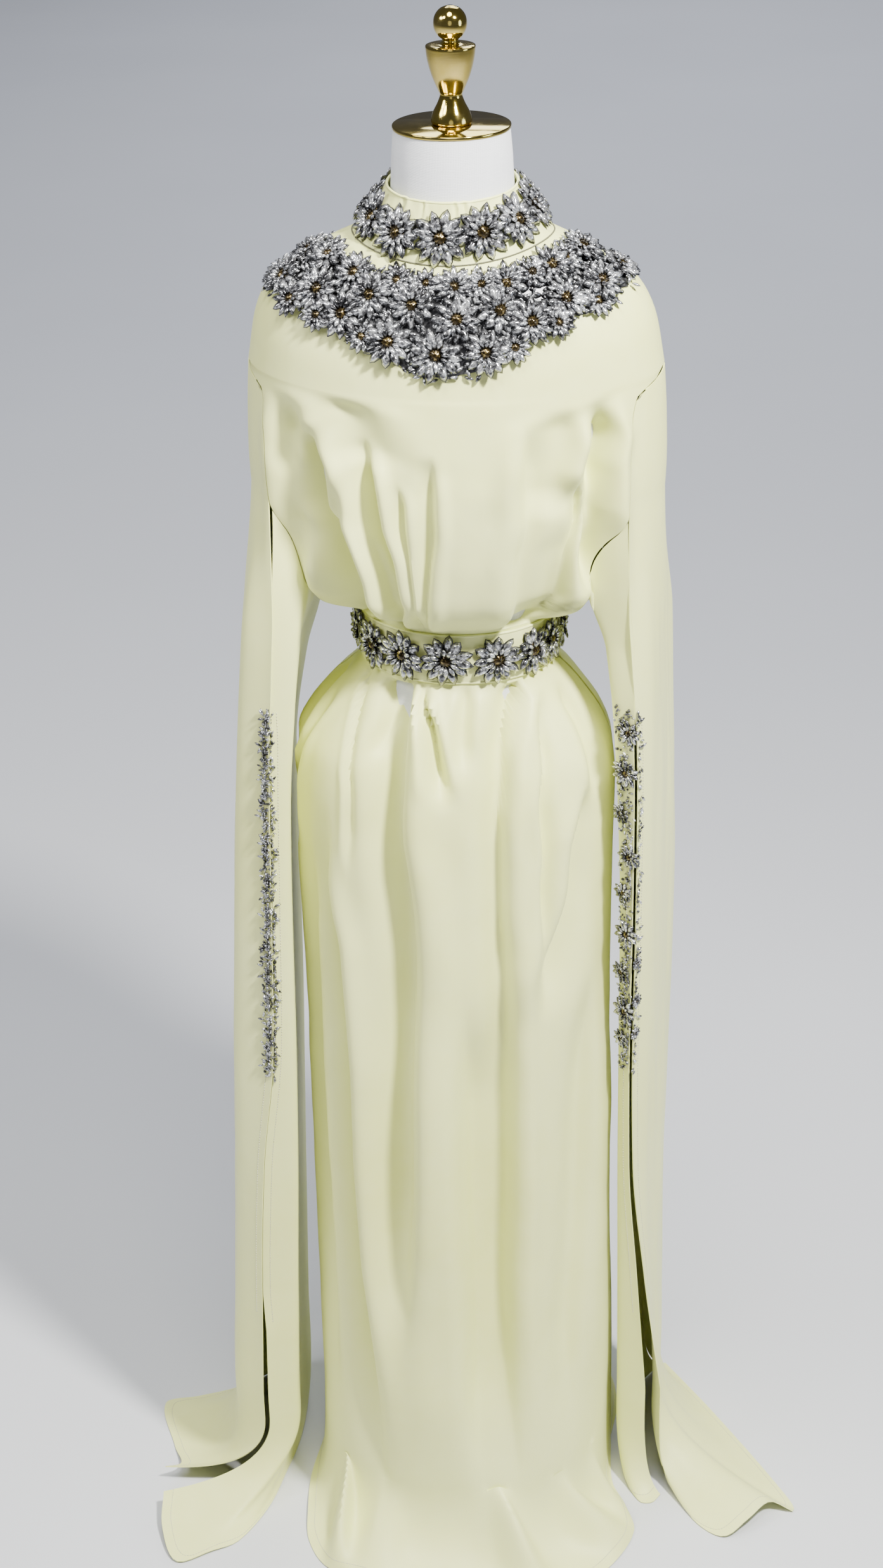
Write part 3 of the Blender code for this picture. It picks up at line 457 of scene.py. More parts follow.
# Pleats of the collar's folded top edge at the front: degrees, width and depth
COLLAR_PLEATS = ((-38, 3.0, -0.0022), (-33, 3.0, 0.0016), (-18, 1.6, -0.0016), (-15.5, 1.4, 0.0012),
                 (9, 1.6, -0.0018), (12, 1.5, 0.0014), (17, 1.6, -0.0020), (21, 3.0, 0.0012))
COLLAR_BLOOMS = """
angle way  radius
-94   0.50 0.0215
-64   0.55 0.0215
-34   0.60 0.0220
-2    0.56 0.0220
27    0.52 0.0220
57    0.50 0.0215
86    0.45 0.0215
116   0.50 0.0210
146   0.52 0.0210
176   0.52 0.0210
206   0.52 0.0210
236   0.50 0.0210
"""
BELT_BLOOMS = """
angle z      radius
-98   1.0400 0.0215
-71   1.0440 0.0210
-50   1.0385 0.0225
-27   1.0380 0.0225
-1    1.0375 0.0232
28    1.0360 0.0225
53    1.0360 0.0220
69    1.0400 0.0215
92    1.0400 0.0215
117   1.0380 0.0220
143   1.0380 0.0220
169   1.0380 0.0220
195   1.0380 0.0220
221   1.0380 0.0220
243   1.0380 0.0215
"""
YOKE_BLOOMS = """
angle way  radius
-80   0.30 0.0185
-71   0.50 0.0200
-50   0.41 0.0205
-64   0.22 0.0200
-42   0.22 0.0195
-57   0.56 0.0165
-29   0.30 0.0205
-35   0.47 0.0210
-43   0.55 0.0150
-21   0.16 0.0150
-11   0.30 0.0200
-16   0.55 0.0215
-25   0.56 0.0150
6     0.17 0.0175
6     0.37 0.0210
-1    0.60 0.0230
-7    0.15 0.0130
14    0.60 0.0200
29    0.20 0.0190
22    0.35 0.0205
31    0.47 0.0205
18    0.17 0.0140
23    0.60 0.0145
39    0.53 0.0150
47    0.41 0.0200
53    0.20 0.0195
42    0.19 0.0145
57    0.52 0.0150
66    0.43 0.0200
79    0.22 0.0195
64    0.20 0.0155
86    0.44 0.0185
"""
# The left trim is seen edge on: its flowers face away from the body. Height, share and radius of each flower
LEFT_TRIM_FACING = (-0.96, -0.28, 0.0)
SLIT_BLOOMS = {
    (-1, 1): ((0.968, 0.004, 0.0095), (0.938, 0.006, 0.0115), (0.905, 0.004, 0.0125), (0.868, 0.006, 0.0110),
              (0.835, 0.004, 0.0100), (0.800, 0.006, 0.0095), (0.765, 0.004, 0.0100), (0.730, 0.006, 0.0110),
              (0.695, 0.004, 0.0115), (0.660, 0.006, 0.0120), (0.628, 0.004, 0.0115), (0.600, 0.006, 0.0095)),
    (-1, -1): (),
    (1, 1): ((0.700, 0.004, 0.0085), (0.655, 0.004, 0.0090), (0.615, 0.004, 0.0085)),
    (1, -1): ((0.960, 0.030, 0.0150), (0.915, 0.050, 0.0165), (0.868, 0.095, 0.0120), (0.822, 0.030, 0.0150),
              (0.778, 0.085, 0.0130), (0.732, 0.045, 0.0170), (0.684, 0.090, 0.0135), (0.640, 0.040, 0.0170),
              (0.603, 0.080, 0.0120)),
}

# Lamps: name, place, what it faces, width, power, colour
LAMPS = (
    ("key_right", (1.05, -1.0, 2.75), (0, 0, 1.1), 0.30, 165, (1.0, 0.985, 0.92)),
    ("high_left", (-1.3, -1.3, 3.0), (0, 0, 1.0), 0.6, 20, (1.0, 0.985, 0.93)),
    ("ceiling", (0.0, -0.8, 3.2), (0, -0.2, 0), 0.8, 40, (1.0, 0.99, 0.95)),
    ("front_soft", (0.3, -3.4, 1.9), (0, 0, 1.1), 1.4, 3, (0.97, 0.98, 1.0)),
    ("right_cool", (3.0, -0.6, 1.6), (0, 0, 1.1), 1.2, 18, (0.70, 0.82, 1.0)),
    ("left_floor", (-2.6, -1.2, 3.0), (-1.6, -0.6, 0), 1.2, 60, (0.98, 0.99, 1.0)),
    ("back_floor", (0.0, 4.0, 4.6), (0, 4.4, 0), 3.0, 130, (0.88, 0.92, 1.0)),
    ("far_floor", (0.0, 8.5, 5.0), (0, 8.8, 0), 4.0, 205, (0.88, 0.92, 1.0)),
)


def table(text):
    """Read a table with a row of column names into a dictionary of arrays."""
    lines = [line.split() for line in text.strip().splitlines()]
    columns = zip(*lines[1:])
    return {name: np.array([float(v) for v in column]) for name, column in zip(lines[0], columns)}


def smooth(knots, values, at):
    """Smooth curve through values at rising knots that never swings past them."""
    knots, values = np.asarray(knots, float), np.asarray(values, float)
    step = np.diff(knots)
    slope = np.diff(values) / step
    tangent = np.zeros_like(values)
    same_way = slope[:-1] * slope[1:] > 0
    weight = 2.0 * slope[:-1] * slope[1:]
    total = np.where(same_way, slope[:-1] + slope[1:], 1.0)
    tangent[1:-1] = np.where(same_way, weight / total, 0.0)
    tangent[0], tangent[-1] = slope[0], slope[-1]
    at = np.clip(at, knots[0], knots[-1])
    i = np.clip(np.searchsorted(knots, at) - 1, 0, len(step) - 1)
    t = (at - knots[i]) / step[i]
    a = values[i] * (1 + 2 * t) * (1 - t) ** 2 + values[i + 1] * t * t * (3 - 2 * t)
    b = step[i] * t * (1 - t) * (tangent[i] * (1 - t) - tangent[i + 1] * t)
    return a + b


def through(points, at):
    """Point at a share of the way along a rounded curve through the given points."""
    points = np.asarray(points, float)
    length = np.concatenate([[0], np.cumsum(np.linalg.norm(np.diff(points, axis=0), axis=1))])
    share = length / length[-1]
    n = len(points)
    i = np.clip(np.searchsorted(share, at) - 1, 0, n - 2)
    t = ((at - share[i]) / (share[i + 1] - share[i]))[:, None]
    before, start = points[np.maximum(i - 1, 0)], points[i]
    end, after = points[i + 1], points[np.minimum(i + 2, n - 1)]
    span = (share[i + 1] - share[i])[:, None]
    into = (share[i + 1] - share[np.maximum(i - 1, 0)])[:, None]
    out = (share[np.minimum(i + 2, n - 1)] - share[i])[:, None]
    tangent_in = (end - before) / into * span
    tangent_out = (after - start) / out * span
    return (start * (1 + 2 * t) * (1 - t) ** 2 + end * t * t * (3 - 2 * t)
            + tangent_in * t * (1 - t) ** 2 - tangent_out * t * t * (1 - t))


body, yoke, armhole, folds = table(BODY), table(YOKE), table(ARMHOLE), table(FOLDS)


def level(columns, name, z):
    """Value of a section table's column at a height."""
    order = np.argsort(columns["height"])
    return smooth(columns["height"][order], columns[name][order], z)


def signed_power(value, power):
    return np.sign(value) * np.abs(value) ** power


def ring(angle, half_width, front, back, squareness=1.0):
    """Plan of a body section: angle 0 at the front's middle, a quarter turn at the right side."""
    c = np.cos(angle)
    depth = np.where(c > 0, front, back)
    return half_width * signed_power(np.sin(angle), squareness), -depth * signed_power(c, squareness)


def eased(share):
    """Smooth rise from 0 to 1."""
    return share ** 2 * (3 - 2 * share)


def crease_lines():
    """The crease table as angle and height arrays, rising."""
    lines = []
    for width, depth, lean, text in CREASES:
        numbers = np.array([float(v) for v in text.split()]).reshape(-1, 2)[::-1]
        lines.append((width, depth, lean, np.radians(numbers[:, 0]), numbers[:, 1]))
    return lines


creases = crease_lines()


def fold_depth(angle, z):
    """How far the folds push the body's cloth in or out at an angle and height."""
    total = np.zeros(np.broadcast(angle, z).shape)
    for top_angle, end_angle, top_z, end_z, width, depth in zip(*folds.values()):
        t = np.clip((top_z - z) / (top_z - end_z), 0, 1)
        centre = np.radians(top_angle + (end_angle - top_angle) * t)
        apart = (angle - centre + math.pi) % (2 * math.pi) - math.pi
        q = (apart * RING_RADIUS / (width * (1 + 0.7 * t))) ** 2
        window = np.minimum(1, 6 * t) * np.clip((1 - t) * 2.5, 0, 1)
        total += -depth * window * (1 - 0.7 * q) * np.exp(-q / 1.4)
    radius = (level(body, "half_width", z) + level(body, "front", z)) / 2
    for width, depth, lean, angles, heights in creases:
        centre = smooth(heights, angles, z)
        apart = (angle - centre + math.pi) % (2 * math.pi) - math.pi
        t = (heights[-1] - z) / (heights[-1] - heights[0])
        starts_at_belt = abs(heights[-1] - UNDER_BELT_Z) < 0.003
        ends_at_belt = abs(heights[0] - OVER_BELT_Z) < 0.008
        begins = np.where(starts_at_belt, 1.0, np.clip(t / CREASE_START, 0, 1))
        ends = np.where(ends_at_belt, 1.0, np.clip((1 - t) / CREASE_END, 0, 1))
        window = eased(begins) * eased(ends) * ((t >= 0) & (t <= 1))
        wide = width * (1 + CREASE_SPREAD * np.clip(t, 0, 1))
        apart = apart * radius
        soft_reach = np.where(apart * lean < 0, wide * SOFT_SIDE, wide)
        reach = np.where(apart * lean > 0, wide * STEEP_SIDE, soft_reach)
        trough = np.exp(-(apart / reach) ** 2)
        if lean:
            ridge = np.exp(-((apart - lean * wide * RIDGE_PLACE) / (wide * RIDGE_WIDTH)) ** 2)
        else:
            from_ridge = (np.abs(apart) - wide * TWIN_RIDGE_PLACE) / (wide * TWIN_RIDGE_WIDTH)
            ridge = np.exp(-from_ridge ** 2) * TWIN_RIDGE_HEIGHT
        total += window * depth * CREASE_DEPTH * (RIDGE_SHARE * ridge - trough)
    from_belt = np.clip((np.abs(z - WAIST_Z) - BELT_REACH) / BELT_EASE, 0, 1)
    return total * eased(from_belt)


def body_points(angle, z, out=0.0):
    """Points of the body's outer side, moved out by a distance."""
    half, front = level(body, "half_width", z), level(body, "front", z)
    back, square = level(body, "back", z), level(body, "squareness", z)
    x, y = ring(angle, half, front, back, square)
    x = x + level(body, "shift", z)
    away = np.stack([np.sin(angle) / half, -np.cos(angle) / np.where(np.cos(angle) > 0, front, back)])
    away = away / np.linalg.norm(away, axis=0)
    push = fold_depth(angle, z) + out
    return np.stack([x + away[0] * push, y + away[1] * push, z + 0 * x], -1)


def yoke_points(angle, way):
    """Points of the yoke from the collar seam, way 0, to the shoulder point's ring, way 1."""
    knots = np.linspace(0, 1, len(yoke["front"]))
    half, front, back = (smooth(knots, yoke[name], way) for name in ("half_width", "front", "back"))
    side_z, front_z, back_z = (smooth(knots, yoke[name], way) for name in ("side_z", "front_z", "back_z"))
    x, y = ring(angle, half, front, back)
    middle_z = np.where(np.cos(angle) > 0, front_z, back_z)
    z = side_z + (middle_z - side_z) * np.cos(angle) ** 2
    return np.stack([x, y, z], -1)


def normals(grid):
    """Outward directions of a grid of points, rows downwards and columns to the right."""
    across, down = np.gradient(grid, axis=1), np.gradient(grid, axis=0)
    n = np.cross(down, across)
    return n / np.maximum(np.linalg.norm(n, axis=2, keepdims=True), 1e-9)


def moved_out(grid, distance):
    """The grid moved along its own normals by a distance or an array of distances."""
    return grid + normals(grid) * np.broadcast_to(np.asarray(distance), grid.shape[:2])[..., None]


def to_floor(last_row, row_above, hem, count):
    """Rows from a hanging row down on to the floor and out to the hem."""
    fall = last_row - row_above
    fall = fall / np.linalg.norm(fall, axis=1, keepdims=True)
    drop = last_row[:, 2:3] - hem[:, 2:3]
    bend = last_row + fall * drop * FLOOR_BEND / np.maximum(-fall[:, 2:3], LEAST_FALL)
    rows = []
    for t in np.linspace(0, 1, count + 1)[1:]:
        t = t ** FLOOR_ROW_POWER
        rows.append(last_row * (1 - t) ** 2 + bend * 2 * t * (1 - t) + hem * t * t)
    return rows


def hem_row(text, share):
    """Points of a hem line, lifted just clear of the floor."""
    columns = table(text)
    points = np.stack([columns["x"], columns["y"], columns["z"]], -1)
    row = through(points, share)
    row[:, 2] = np.maximum(row[:, 2], 0) + CLOTH_FLOOR_GAP + CLOTH_WALL
    return row


def slit_gap(z):
    """Half the gap between a sleeve's lengths: a closed seam above the slit."""
    way = np.clip((SLIT_TRIM_TOP_Z + 0.01 - z) / SEAM_EASE, 0, 1)
    return CLOSED_SEAM + (SLIT_GAP - CLOSED_SEAM) * eased(way)


def sleeve_line(columns, z, share, face):
    """Plan of one face of a sleeve at heights z, share 0 at the front seam and 1 at the back fold."""
    at = {name: level(columns, name, z) for name in columns if name != "height"}
    front = np.stack([at["front_x"] + slit_gap(z) * face, at["front_y"]], -1)
    back = np.stack([at["back_x"] + CLOSED_SEAM * face, at["back_y"]], -1)
    if face < 0:
        lap = np.clip((z - at["lap_z"]) / SEAM_EASE, 0, 1)
        front = front + np.stack([lap * SEAM_LAP, lap * SEAM_LAP_DEPTH], -1)
    if face > 0:
        front[..., 0] += at["slit_open"]
        corner = np.stack([at["outer_x"], at["front_y"] + OUTER_CORNER_SETBACK], -1)
        far_corner = np.stack([at["outer_back_x"], at["back_y"] - BACK_CORNER_SETBACK], -1)
    else:
        corner = np.stack([at["inner_x"], at["front_y"] + INNER_CORNER_SETBACK], -1)
        far_corner = np.stack([at["inner_back_x"], at["back_y"] - BACK_CORNER_SETBACK], -1)
    middle = (corner + far_corner) / 2
    middle[..., 0] += SLEEVE_BOW
    points = np.stack([front, corner, middle, far_corner, back], -2)
    plan = np.empty(np.shape(share) + (2,))
    for i, s in enumerate(share):
        for axis in (0, 1):
            plan[i, axis] = smooth(SLEEVE_PLAN_KNOTS, points[i, :, axis], s)
    return plan


def sleeve_points(columns, side, z, share, face):
    """Points of a sleeve's face in place, side -1 left or 1 right."""
    z = np.broadcast_to(z, np.shape(share))
    plan = sleeve_line(columns, z, share, face)
    return np.stack([plan[:, 0] * side, plan[:, 1], z], -1)


def armhole_angle(z):
    return np.radians(smooth(armhole["height"][::-1], armhole["edge_angle"][::-1], z))


def armhole_height(angle):
    """Height at which the upper armhole seam crosses an angle."""
    upper = armhole["height"] > SLEEVE_SEAM_Z
    return smooth(armhole["edge_angle"][upper][::-1], armhole["height"][upper][::-1], np.degrees(angle))


def fade(share):
    """Smooth fall from 1 to 0 as the share goes from 0 to 1."""
    share = np.clip(share, 0, 1)
    return (1 - share) ** 2 * (1 + 2 * share)


def collar_grid(columns, ways):
    """Flared stand collar, way 0 at the top edge and 1 at its seam."""
    angle = np.linspace(0, 2 * math.pi, columns, endpoint=False)
    front = 0.5 + 0.5 * np.cos(angle)
    rows = []
    for way in ways:
        bell = way ** 1.15
        half = COLLAR_TOP_RADIUS + (yoke["half_width"][0] - COLLAR_TOP_RADIUS) * bell
        depth = COLLAR_TOP_RADIUS + (yoke["front"][0] - COLLAR_TOP_RADIUS) * bell
        rear = COLLAR_TOP_RADIUS - 0.002 + (yoke["back"][0] - COLLAR_TOP_RADIUS + 0.002) * bell
        x, y = ring(angle, half, depth, rear)
        seam = yoke_points(angle, np.zeros(columns))[:, 2] + SEAM_GAP
        top = COLLAR_TOP_Z - COLLAR_TOP_DIP * front
        rows.append(np.stack([x, y, top + (seam - top) * way], -1))
    return np.array(rows)


def profile(text):
    columns = table(text)
    return columns["radius"], columns["height"]


def evenly(total, columns, name, top, bottom):
    """Heights from top to bottom, spaced evenly along a section table's side line."""
    z = np.linspace(top, bottom, 4000)
    side = level(columns, name, z)
    length = np.concatenate([[0], np.cumsum(np.hypot(np.diff(z), np.diff(side)))])
    return np.interp(np.linspace(0, length[-1], total), length, z)


def ripple(u, v, seed, size):
    """Slow irregular waves over two coordinates in metres, about -1 to 1."""
    draw = np.random.RandomState(seed)
    total, weight = np.zeros(np.broadcast(u, v).shape), 0.0
    for octave in range(4):
        for _ in range(3):
            way, phase = draw.uniform(0, math.pi), draw.uniform(0, 2 * math.pi)
            pitch = size / 1.7 ** octave * draw.uniform(0.8, 1.25)
            along = u * math.cos(way) + v * math.sin(way)
            across = -u * math.sin(way) + v * math.cos(way)
            bend = draw.uniform(0.4, 1.0) * np.sin(across / pitch * 2.1 + phase)
            total = total + np.sin(along / pitch * 2 * math.pi + phase + bend) / 1.6 ** octave
            weight += 1 / 1.6 ** octave
    return total / weight * 1.6


def mesh_piece(name, vertices, faces, finish, nodes=(), smooth_angle=50.0):
    """A piece of the object on the root body, made of points and faces."""
    mesh = bpy.data.meshes.new(name)
    vertices = np.ascontiguousarray(vertices, dtype=float).reshape(-1, 3)
    if isinstance(faces, np.ndarray):
        mesh.vertices.add(len(vertices))
        mesh.vertices.foreach_set("co", vertices.ravel())
        corners = faces.shape[1]
        mesh.loops.add(faces.size)
        mesh.loops.foreach_set("vertex_index", faces.astype(np.int32).ravel())
        mesh.polygons.add(len(faces))
        mesh.polygons.foreach_set("loop_start", np.arange(len(faces), dtype=np.int32) * corners)
        mesh.update(calc_edges=True)
        mesh.validate()
    else:
        mesh.from_pydata([tuple(v) for v in vertices], [], faces)
    mesh.materials.append(finish)
    if smooth_angle:
        mesh.shade_smooth()
        mesh.set_sharp_from_angle(angle=math.radians(smooth_angle))
    piece = bpy.data.objects.new(name, mesh)
    bpy.context.collection.objects.link(piece)
    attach(piece, "root")
    for node_name in nodes:
        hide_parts(node_name)
    return piece


def sheet_faces(rows, columns, closed):
    """Quads of a wall between two grids of the same shape, one after the other, with its edges closed."""
    last = columns if closed else columns - 1
    r, c = np.meshgrid(np.arange(rows - 1), np.arange(last), indexing="ij")
    a, b = (r * columns + c).ravel(), (r * columns + (c + 1) % columns).ravel()
    count = rows * columns
    quads = [np.stack([a, a + columns, b + columns, b], 1),
             np.stack([count + a, count + b, count + b + columns, count + a + columns], 1)]
    c = np.arange(last)
    a, b = c, (c + 1) % columns
    quads.append(np.stack([a, b, count + b, count + a], 1))
    a, b = a + count - columns, b + count - columns
    quads.append(np.stack([a, count + a, count + b, b], 1))
    if not closed:
        r = np.arange(rows - 1)
        a, b = r * columns, (r + 1) * columns
        quads.append(np.stack([a, count + a, count + b, b], 1))
        a, b = a + columns - 1, b + columns - 1
        quads.append(np.stack([a, b, count + b, count + a], 1))
    return np.concatenate(quads)


def cloth_piece(name, grid, finish, nodes, closed=False, wall=CLOTH_WALL):
    """Cloth of even thickness whose outer side is the grid."""
    rows, columns = grid.shape[:2]
    inner = moved_out(grid, -wall)
    inner[..., 2] = np.maximum(inner[..., 2], CLOTH_FLOOR_GAP)
    vertices = np.concatenate([grid.reshape(-1, 3), inner.reshape(-1, 3)])
    return mesh_piece(name, vertices, sheet_faces(rows, columns, closed), finish, nodes)


def turned_piece(name, profile, sides, finish, nodes=(), smooth_angle=50.0):
    """Solid turned round the vertical axis from rising radii and heights."""
    radius, height = profile
    turn = np.linspace(0, 2 * math.pi, sides, endpoint=False)
    grid = np.stack([np.outer(radius, np.cos(turn)), np.outer(radius, np.sin(turn)),
                     np.outer(height, np.ones(sides))], -1)
    faces = [tuple(reversed(range(sides))), tuple(range(grid.size // 3 - sides, grid.size // 3))]
    for i in range(len(radius) - 1):
        for j in range(sides):
            a, b = i * sides + j, i * sides + (j + 1) % sides
            faces.append((a, b, b + sides, a + sides))
    return mesh_piece(name, grid.reshape(-1, 3), faces, finish, nodes, smooth_angle)


def resampled(columns, count):
    """A turned profile with rounded curves between its listed points."""
    points = np.stack([columns["radius"], columns["height"], 0 * columns["height"]], -1)
    fine = through(points, np.linspace(0, 1, count))
    return fine[:, 0], fine[:, 1]


# Shader maths


class Wire:
    """A shader value. Sums and products with numbers and other wires add Math nodes."""

    def __init__(self, finish, socket):
        self.finish, self.socket = finish, socket

    def maths(self, operation, *values):
        return self.finish.node("Math", {"operation": operation}, dict(enumerate(values)))

    def __add__(self, other):
        return self.maths("ADD", self, other)

    __radd__ = __add__

    def __sub__(self, other):
        return self.maths("SUBTRACT", self, other)

    def __rsub__(self, other):
        return self.maths("SUBTRACT", other, self)

    def __mul__(self, other):
        return self.maths("MULTIPLY", self, other)

    __rmul__ = __mul__

    def __pow__(self, other):
        return self.maths("POWER", self, other)


class Finish:
    """A material whose shader sockets and nodes are given by name."""

    def __init__(self, name, **constants):
        self.material = bpy.data.materials.new(name)
        self.material.use_nodes = True
        self.tree = self.material.node_tree
        self.shader = self.tree.nodes["Principled BSDF"]
        for key, value in constants.items():
            self.set(self.shader.inputs[key.replace("_", " ")], value)

    def set(self, socket, value):
        if isinstance(value, Wire):
            self.tree.links.new(value.socket, socket)
        elif isinstance(value, tuple) and len(value) == 3 and len(socket.default_value) == 4:
            socket.default_value = (*value, 1)
        else:
            socket.default_value = value

    def node(self, kind, settings=None, values=None, output=0):
        made = self.tree.nodes.new("ShaderNode" + kind)
        for key, value in (settings or {}).items():
            if key == "stops":
                ramp = made.color_ramp
                while len(ramp.elements) < len(value):
                    ramp.elements.new(1)
                for element, (position, colour) in zip(ramp.elements, value):
                    element.position, element.color = position, (*colour, 1)
            else:
                setattr(made, key, value)
        for key, value in (values or {}).items():
            self.set(made.inputs[key], value)
        return Wire(self, made.outputs[output])

    def place(self, *scale):
        """Object coordinates, scaled along x, y and z."""
        here = self.node("TexCoord", output="Object")
        return self.node("Mapping", {}, {"Vector": here, "Scale": scale or (1, 1, 1)})

    def noise(self, place, scale, detail=2.0, rough=0.5, twist=0.0):
        return self.node("TexNoise", {}, {"Vector": place, "Scale": scale, "Detail": detail,
                                          "Roughness": rough, "Distortion": twist})

    def between(self, share, low, high):
        """Colour that goes from low to high with a share."""
        return self.node("Mix", {"data_type": "RGBA"}, {0: share, 6: low, 7: high}, output=2)

    def span(self, value, low, high, to_low=0.0, to_high=1.0):
        return self.node("MapRange", {}, {"Value": value, "From Min": low, "From Max": high,
                                          "To Min": to_low, "To Max": to_high})

    def wear(self, colour=None, roughness=None, relief=None, distance=0.001, strength=1.0, metallic=None):
        """Feeds the sockets that may change over a surface."""
        for key, value in (("Base Color", colour), ("Roughness", roughness), ("Metallic", metallic)):
            if value is not None:
                self.set(self.shader.inputs[key], value)
        if relief is not None:
            bump = self.node("Bump", {}, {"Height": relief, "Distance": distance, "Strength": strength})
            self.set(self.shader.inputs["Normal"], bump)
        return self.material


def satin_finish():
    """Matt satin crepe: fine grain, faint soft creases and a low sheen."""
    f = Finish("satin_crepe", Sheen_Weight=0.12, Sheen_Roughness=0.4, Specular_IOR_Level=0.42)
    place = f.place()
    long_place = f.place(1, 1, 0.35)
    slow = f.noise(place, 3.0, 2.0)
    colour = f.between(f.span(slow, 0.3, 0.7), (0.790, 0.815, 0.300), (0.840, 0.870, 0.385))
    cloudy = f.noise(place, 60.0, 3.0)
    colour = f.between(f.span(cloudy, 0.35, 0.75, 0.0, 0.18), colour, (0.875, 0.895, 0.480))
    creases = f.noise(long_place, 16.0, 3.0, 0.45, 0.6)
    grain = f.noise(f.place(1, 1, 0.6), 1500.0, 2.0, 0.7)
    roughness = 0.44 + 0.10 * f.noise(place, 220.0, 3.0)
    relief = creases * 1.0 + grain * 0.035
    return f.wear(colour, roughness, relief, distance=0.0022, strength=0.55)


def thread_finish():
    f = Finish("sewing_thread", Sheen_Weight=0.2)
    twist = f.node("TexWave", {"bands_direction": "DIAGONAL"}, {"Vector": f.place(), "Scale": 900.0})
    colour = f.between(twist, (0.62, 0.61, 0.42), (0.80, 0.79, 0.60))
    return f.wear(colour, 0.5 + 0.1 * twist, twist, 0.0001)


def seam_shadow_finish():
    """Painted shadow in the collar's seam: a thin dark cord, darker than the cloth, with a faint thread
    twist.
    """
    f = Finish("seam_shadow_line")
    twist = f.node("TexWave", {"bands_direction": "DIAGONAL"}, {"Vector": f.place(), "Scale": 700.0})
    return f.wear(f.between(twist, (0.08, 0.08, 0.05), (0.16, 0.16, 0.10)), 0.7 + 0.1 * twist, twist, 0.0001)


def linen_finish():
    """Plain-weave linen over the form: crossing threads with slubs."""
    f = Finish("white_linen", Sheen_Weight=0.15)
    place = f.place()
    across = f.node("TexWave", {"bands_direction": "Z"}, {"Vector": place, "Scale": 420.0, "Distortion": 1.5,
                                                          "Detail": 2.0, "Detail Scale": 3.0})
    along = f.node("TexWave", {"bands_direction": "X"}, {"Vector": place, "Scale": 420.0, "Distortion": 1.5,
                                                         "Detail": 2.0, "Detail Scale": 3.0})
    slub = f.noise(f.place(1, 1, 12), 60.0, 3.0)
    weave = across * 0.5 + along * 0.5
    colour = f.between(weave * 0.4 + slub * 0.5, (0.66, 0.67, 0.71), (0.86, 0.87, 0.90))
    return f.wear(colour, 0.82 + 0.1 * slub, weave + slub * 0.6, 0.0004, 0.5)


def brass_finish():
    """Polished brass with faint fingerprints and hairline scratches."""
    f = Finish("polished_brass", Coat_Roughness=0.08)
    place = f.place()
    prints = f.noise(place, 45.0, 4.0, 0.6)
    lines = f.noise(f.place(3, 3, 60), 40.0, 2.0)
    colour = f.between(f.span(prints, 0.35, 0.7), (0.70, 0.53, 0.10), (0.82, 0.64, 0.20))
    roughness = 0.06 + 0.10 * f.span(prints, 0.45, 0.75) + 0.05 * lines
    return f.wear(colour, roughness, lines, 0.00006, 0.4, metallic=1.0)


def steel_finish():
    """Brushed steel of the stand."""
    f = Finish("brushed_steel")
    brushed = f.noise(f.place(1, 1, 30), 90.0, 3.0, 0.6)
    stain = f.noise(f.place(), 14.0, 3.0)
    colour = f.between(stain, (0.50, 0.50, 0.51), (0.64, 0.64, 0.65))
    return f.wear(colour, 0.26 + 0.16 * brushed, brushed, 0.0001, 0.5, metallic=1.0)


def stone_finish():
    """Foil-backed clear stones: facets in greys from painted dark reflections to painted white glints."""
    f = Finish("clear_stones", Coat_Weight=0.6, Coat_Roughness=0.03)
    place = f.place()
    spark = f.noise(place, 210.0, 2.0, 0.8)
    deep = f.noise(place, 75.0, 2.0, 0.6)
    glint_and_reflection_mix = spark * 0.6 + deep * 0.4
    # The colour ramp paints the sparkle into the facets: near-black ones are painted dark reflections, white
    # ones painted glints
    colour = f.node("ValToRGB", {"stops": [(0.40, (0.02, 0.02, 0.022)), (0.485, (0.20, 0.20, 0.215)),
                                           (0.56, (0.58, 0.59, 0.62)),
                                           (0.65, (0.98, 0.99, 1.00))]}, {0: glint_and_reflection_mix})
    return f.wear(colour, 0.08 + 0.12 * spark, spark, 0.0004, 0.6, metallic=0.75)


def setting_finish():
    """Dark silver claws, netting and wire between the stones."""
    f = Finish("aged_silver")
    tarnish = f.noise(f.place(), 260.0, 3.0, 0.7)
    colour = f.between(f.span(tarnish, 0.3, 0.7), (0.025, 0.025, 0.028), (0.20, 0.20, 0.21))
    return f.wear(colour, 0.22 + 0.25 * tarnish, tarnish, 0.0005, 0.8, metallic=0.9)


def heart_finish():
    """Smoked gold beads at the hearts of the flowers."""
    f = Finish("smoked_gold", Coat_Weight=0.4, Coat_Roughness=0.05)
    glow = f.noise(f.place(), 330.0, 2.0, 0.7)
    colour = f.node("ValToRGB", {"stops": [(0.38, (0.020, 0.014, 0.005)), (0.55, (0.070, 0.046, 0.014)),
                                           (0.68, (0.36, 0.27, 0.10))]}, {0: glow})
    return f.wear(colour, 0.12 + 0.15 * glow, glow, 0.0003, 0.5, metallic=0.85)


def floor_finish():
    f = Finish("studio_floor", Specular_IOR_Level=0.2)
    cloud = f.noise(f.place(), 1.1, 3.0)
    colour = f.between(cloud, (0.62, 0.63, 0.67), (0.68, 0.69, 0.73))
    return f.wear(colour, 0.75 + 0.1 * cloud, f.noise(f.place(), 300.0), 0.0003, 0.2)


# Stones, beads and flowers

STONE_STEPS = ((0.0, 0.0), (0.20, 0.66), (0.50, 1.0), (0.80, 0.66), (1.0, 0.0), (0.80, -0.66), (0.50, -1.0),
               (0.20, -0.66))


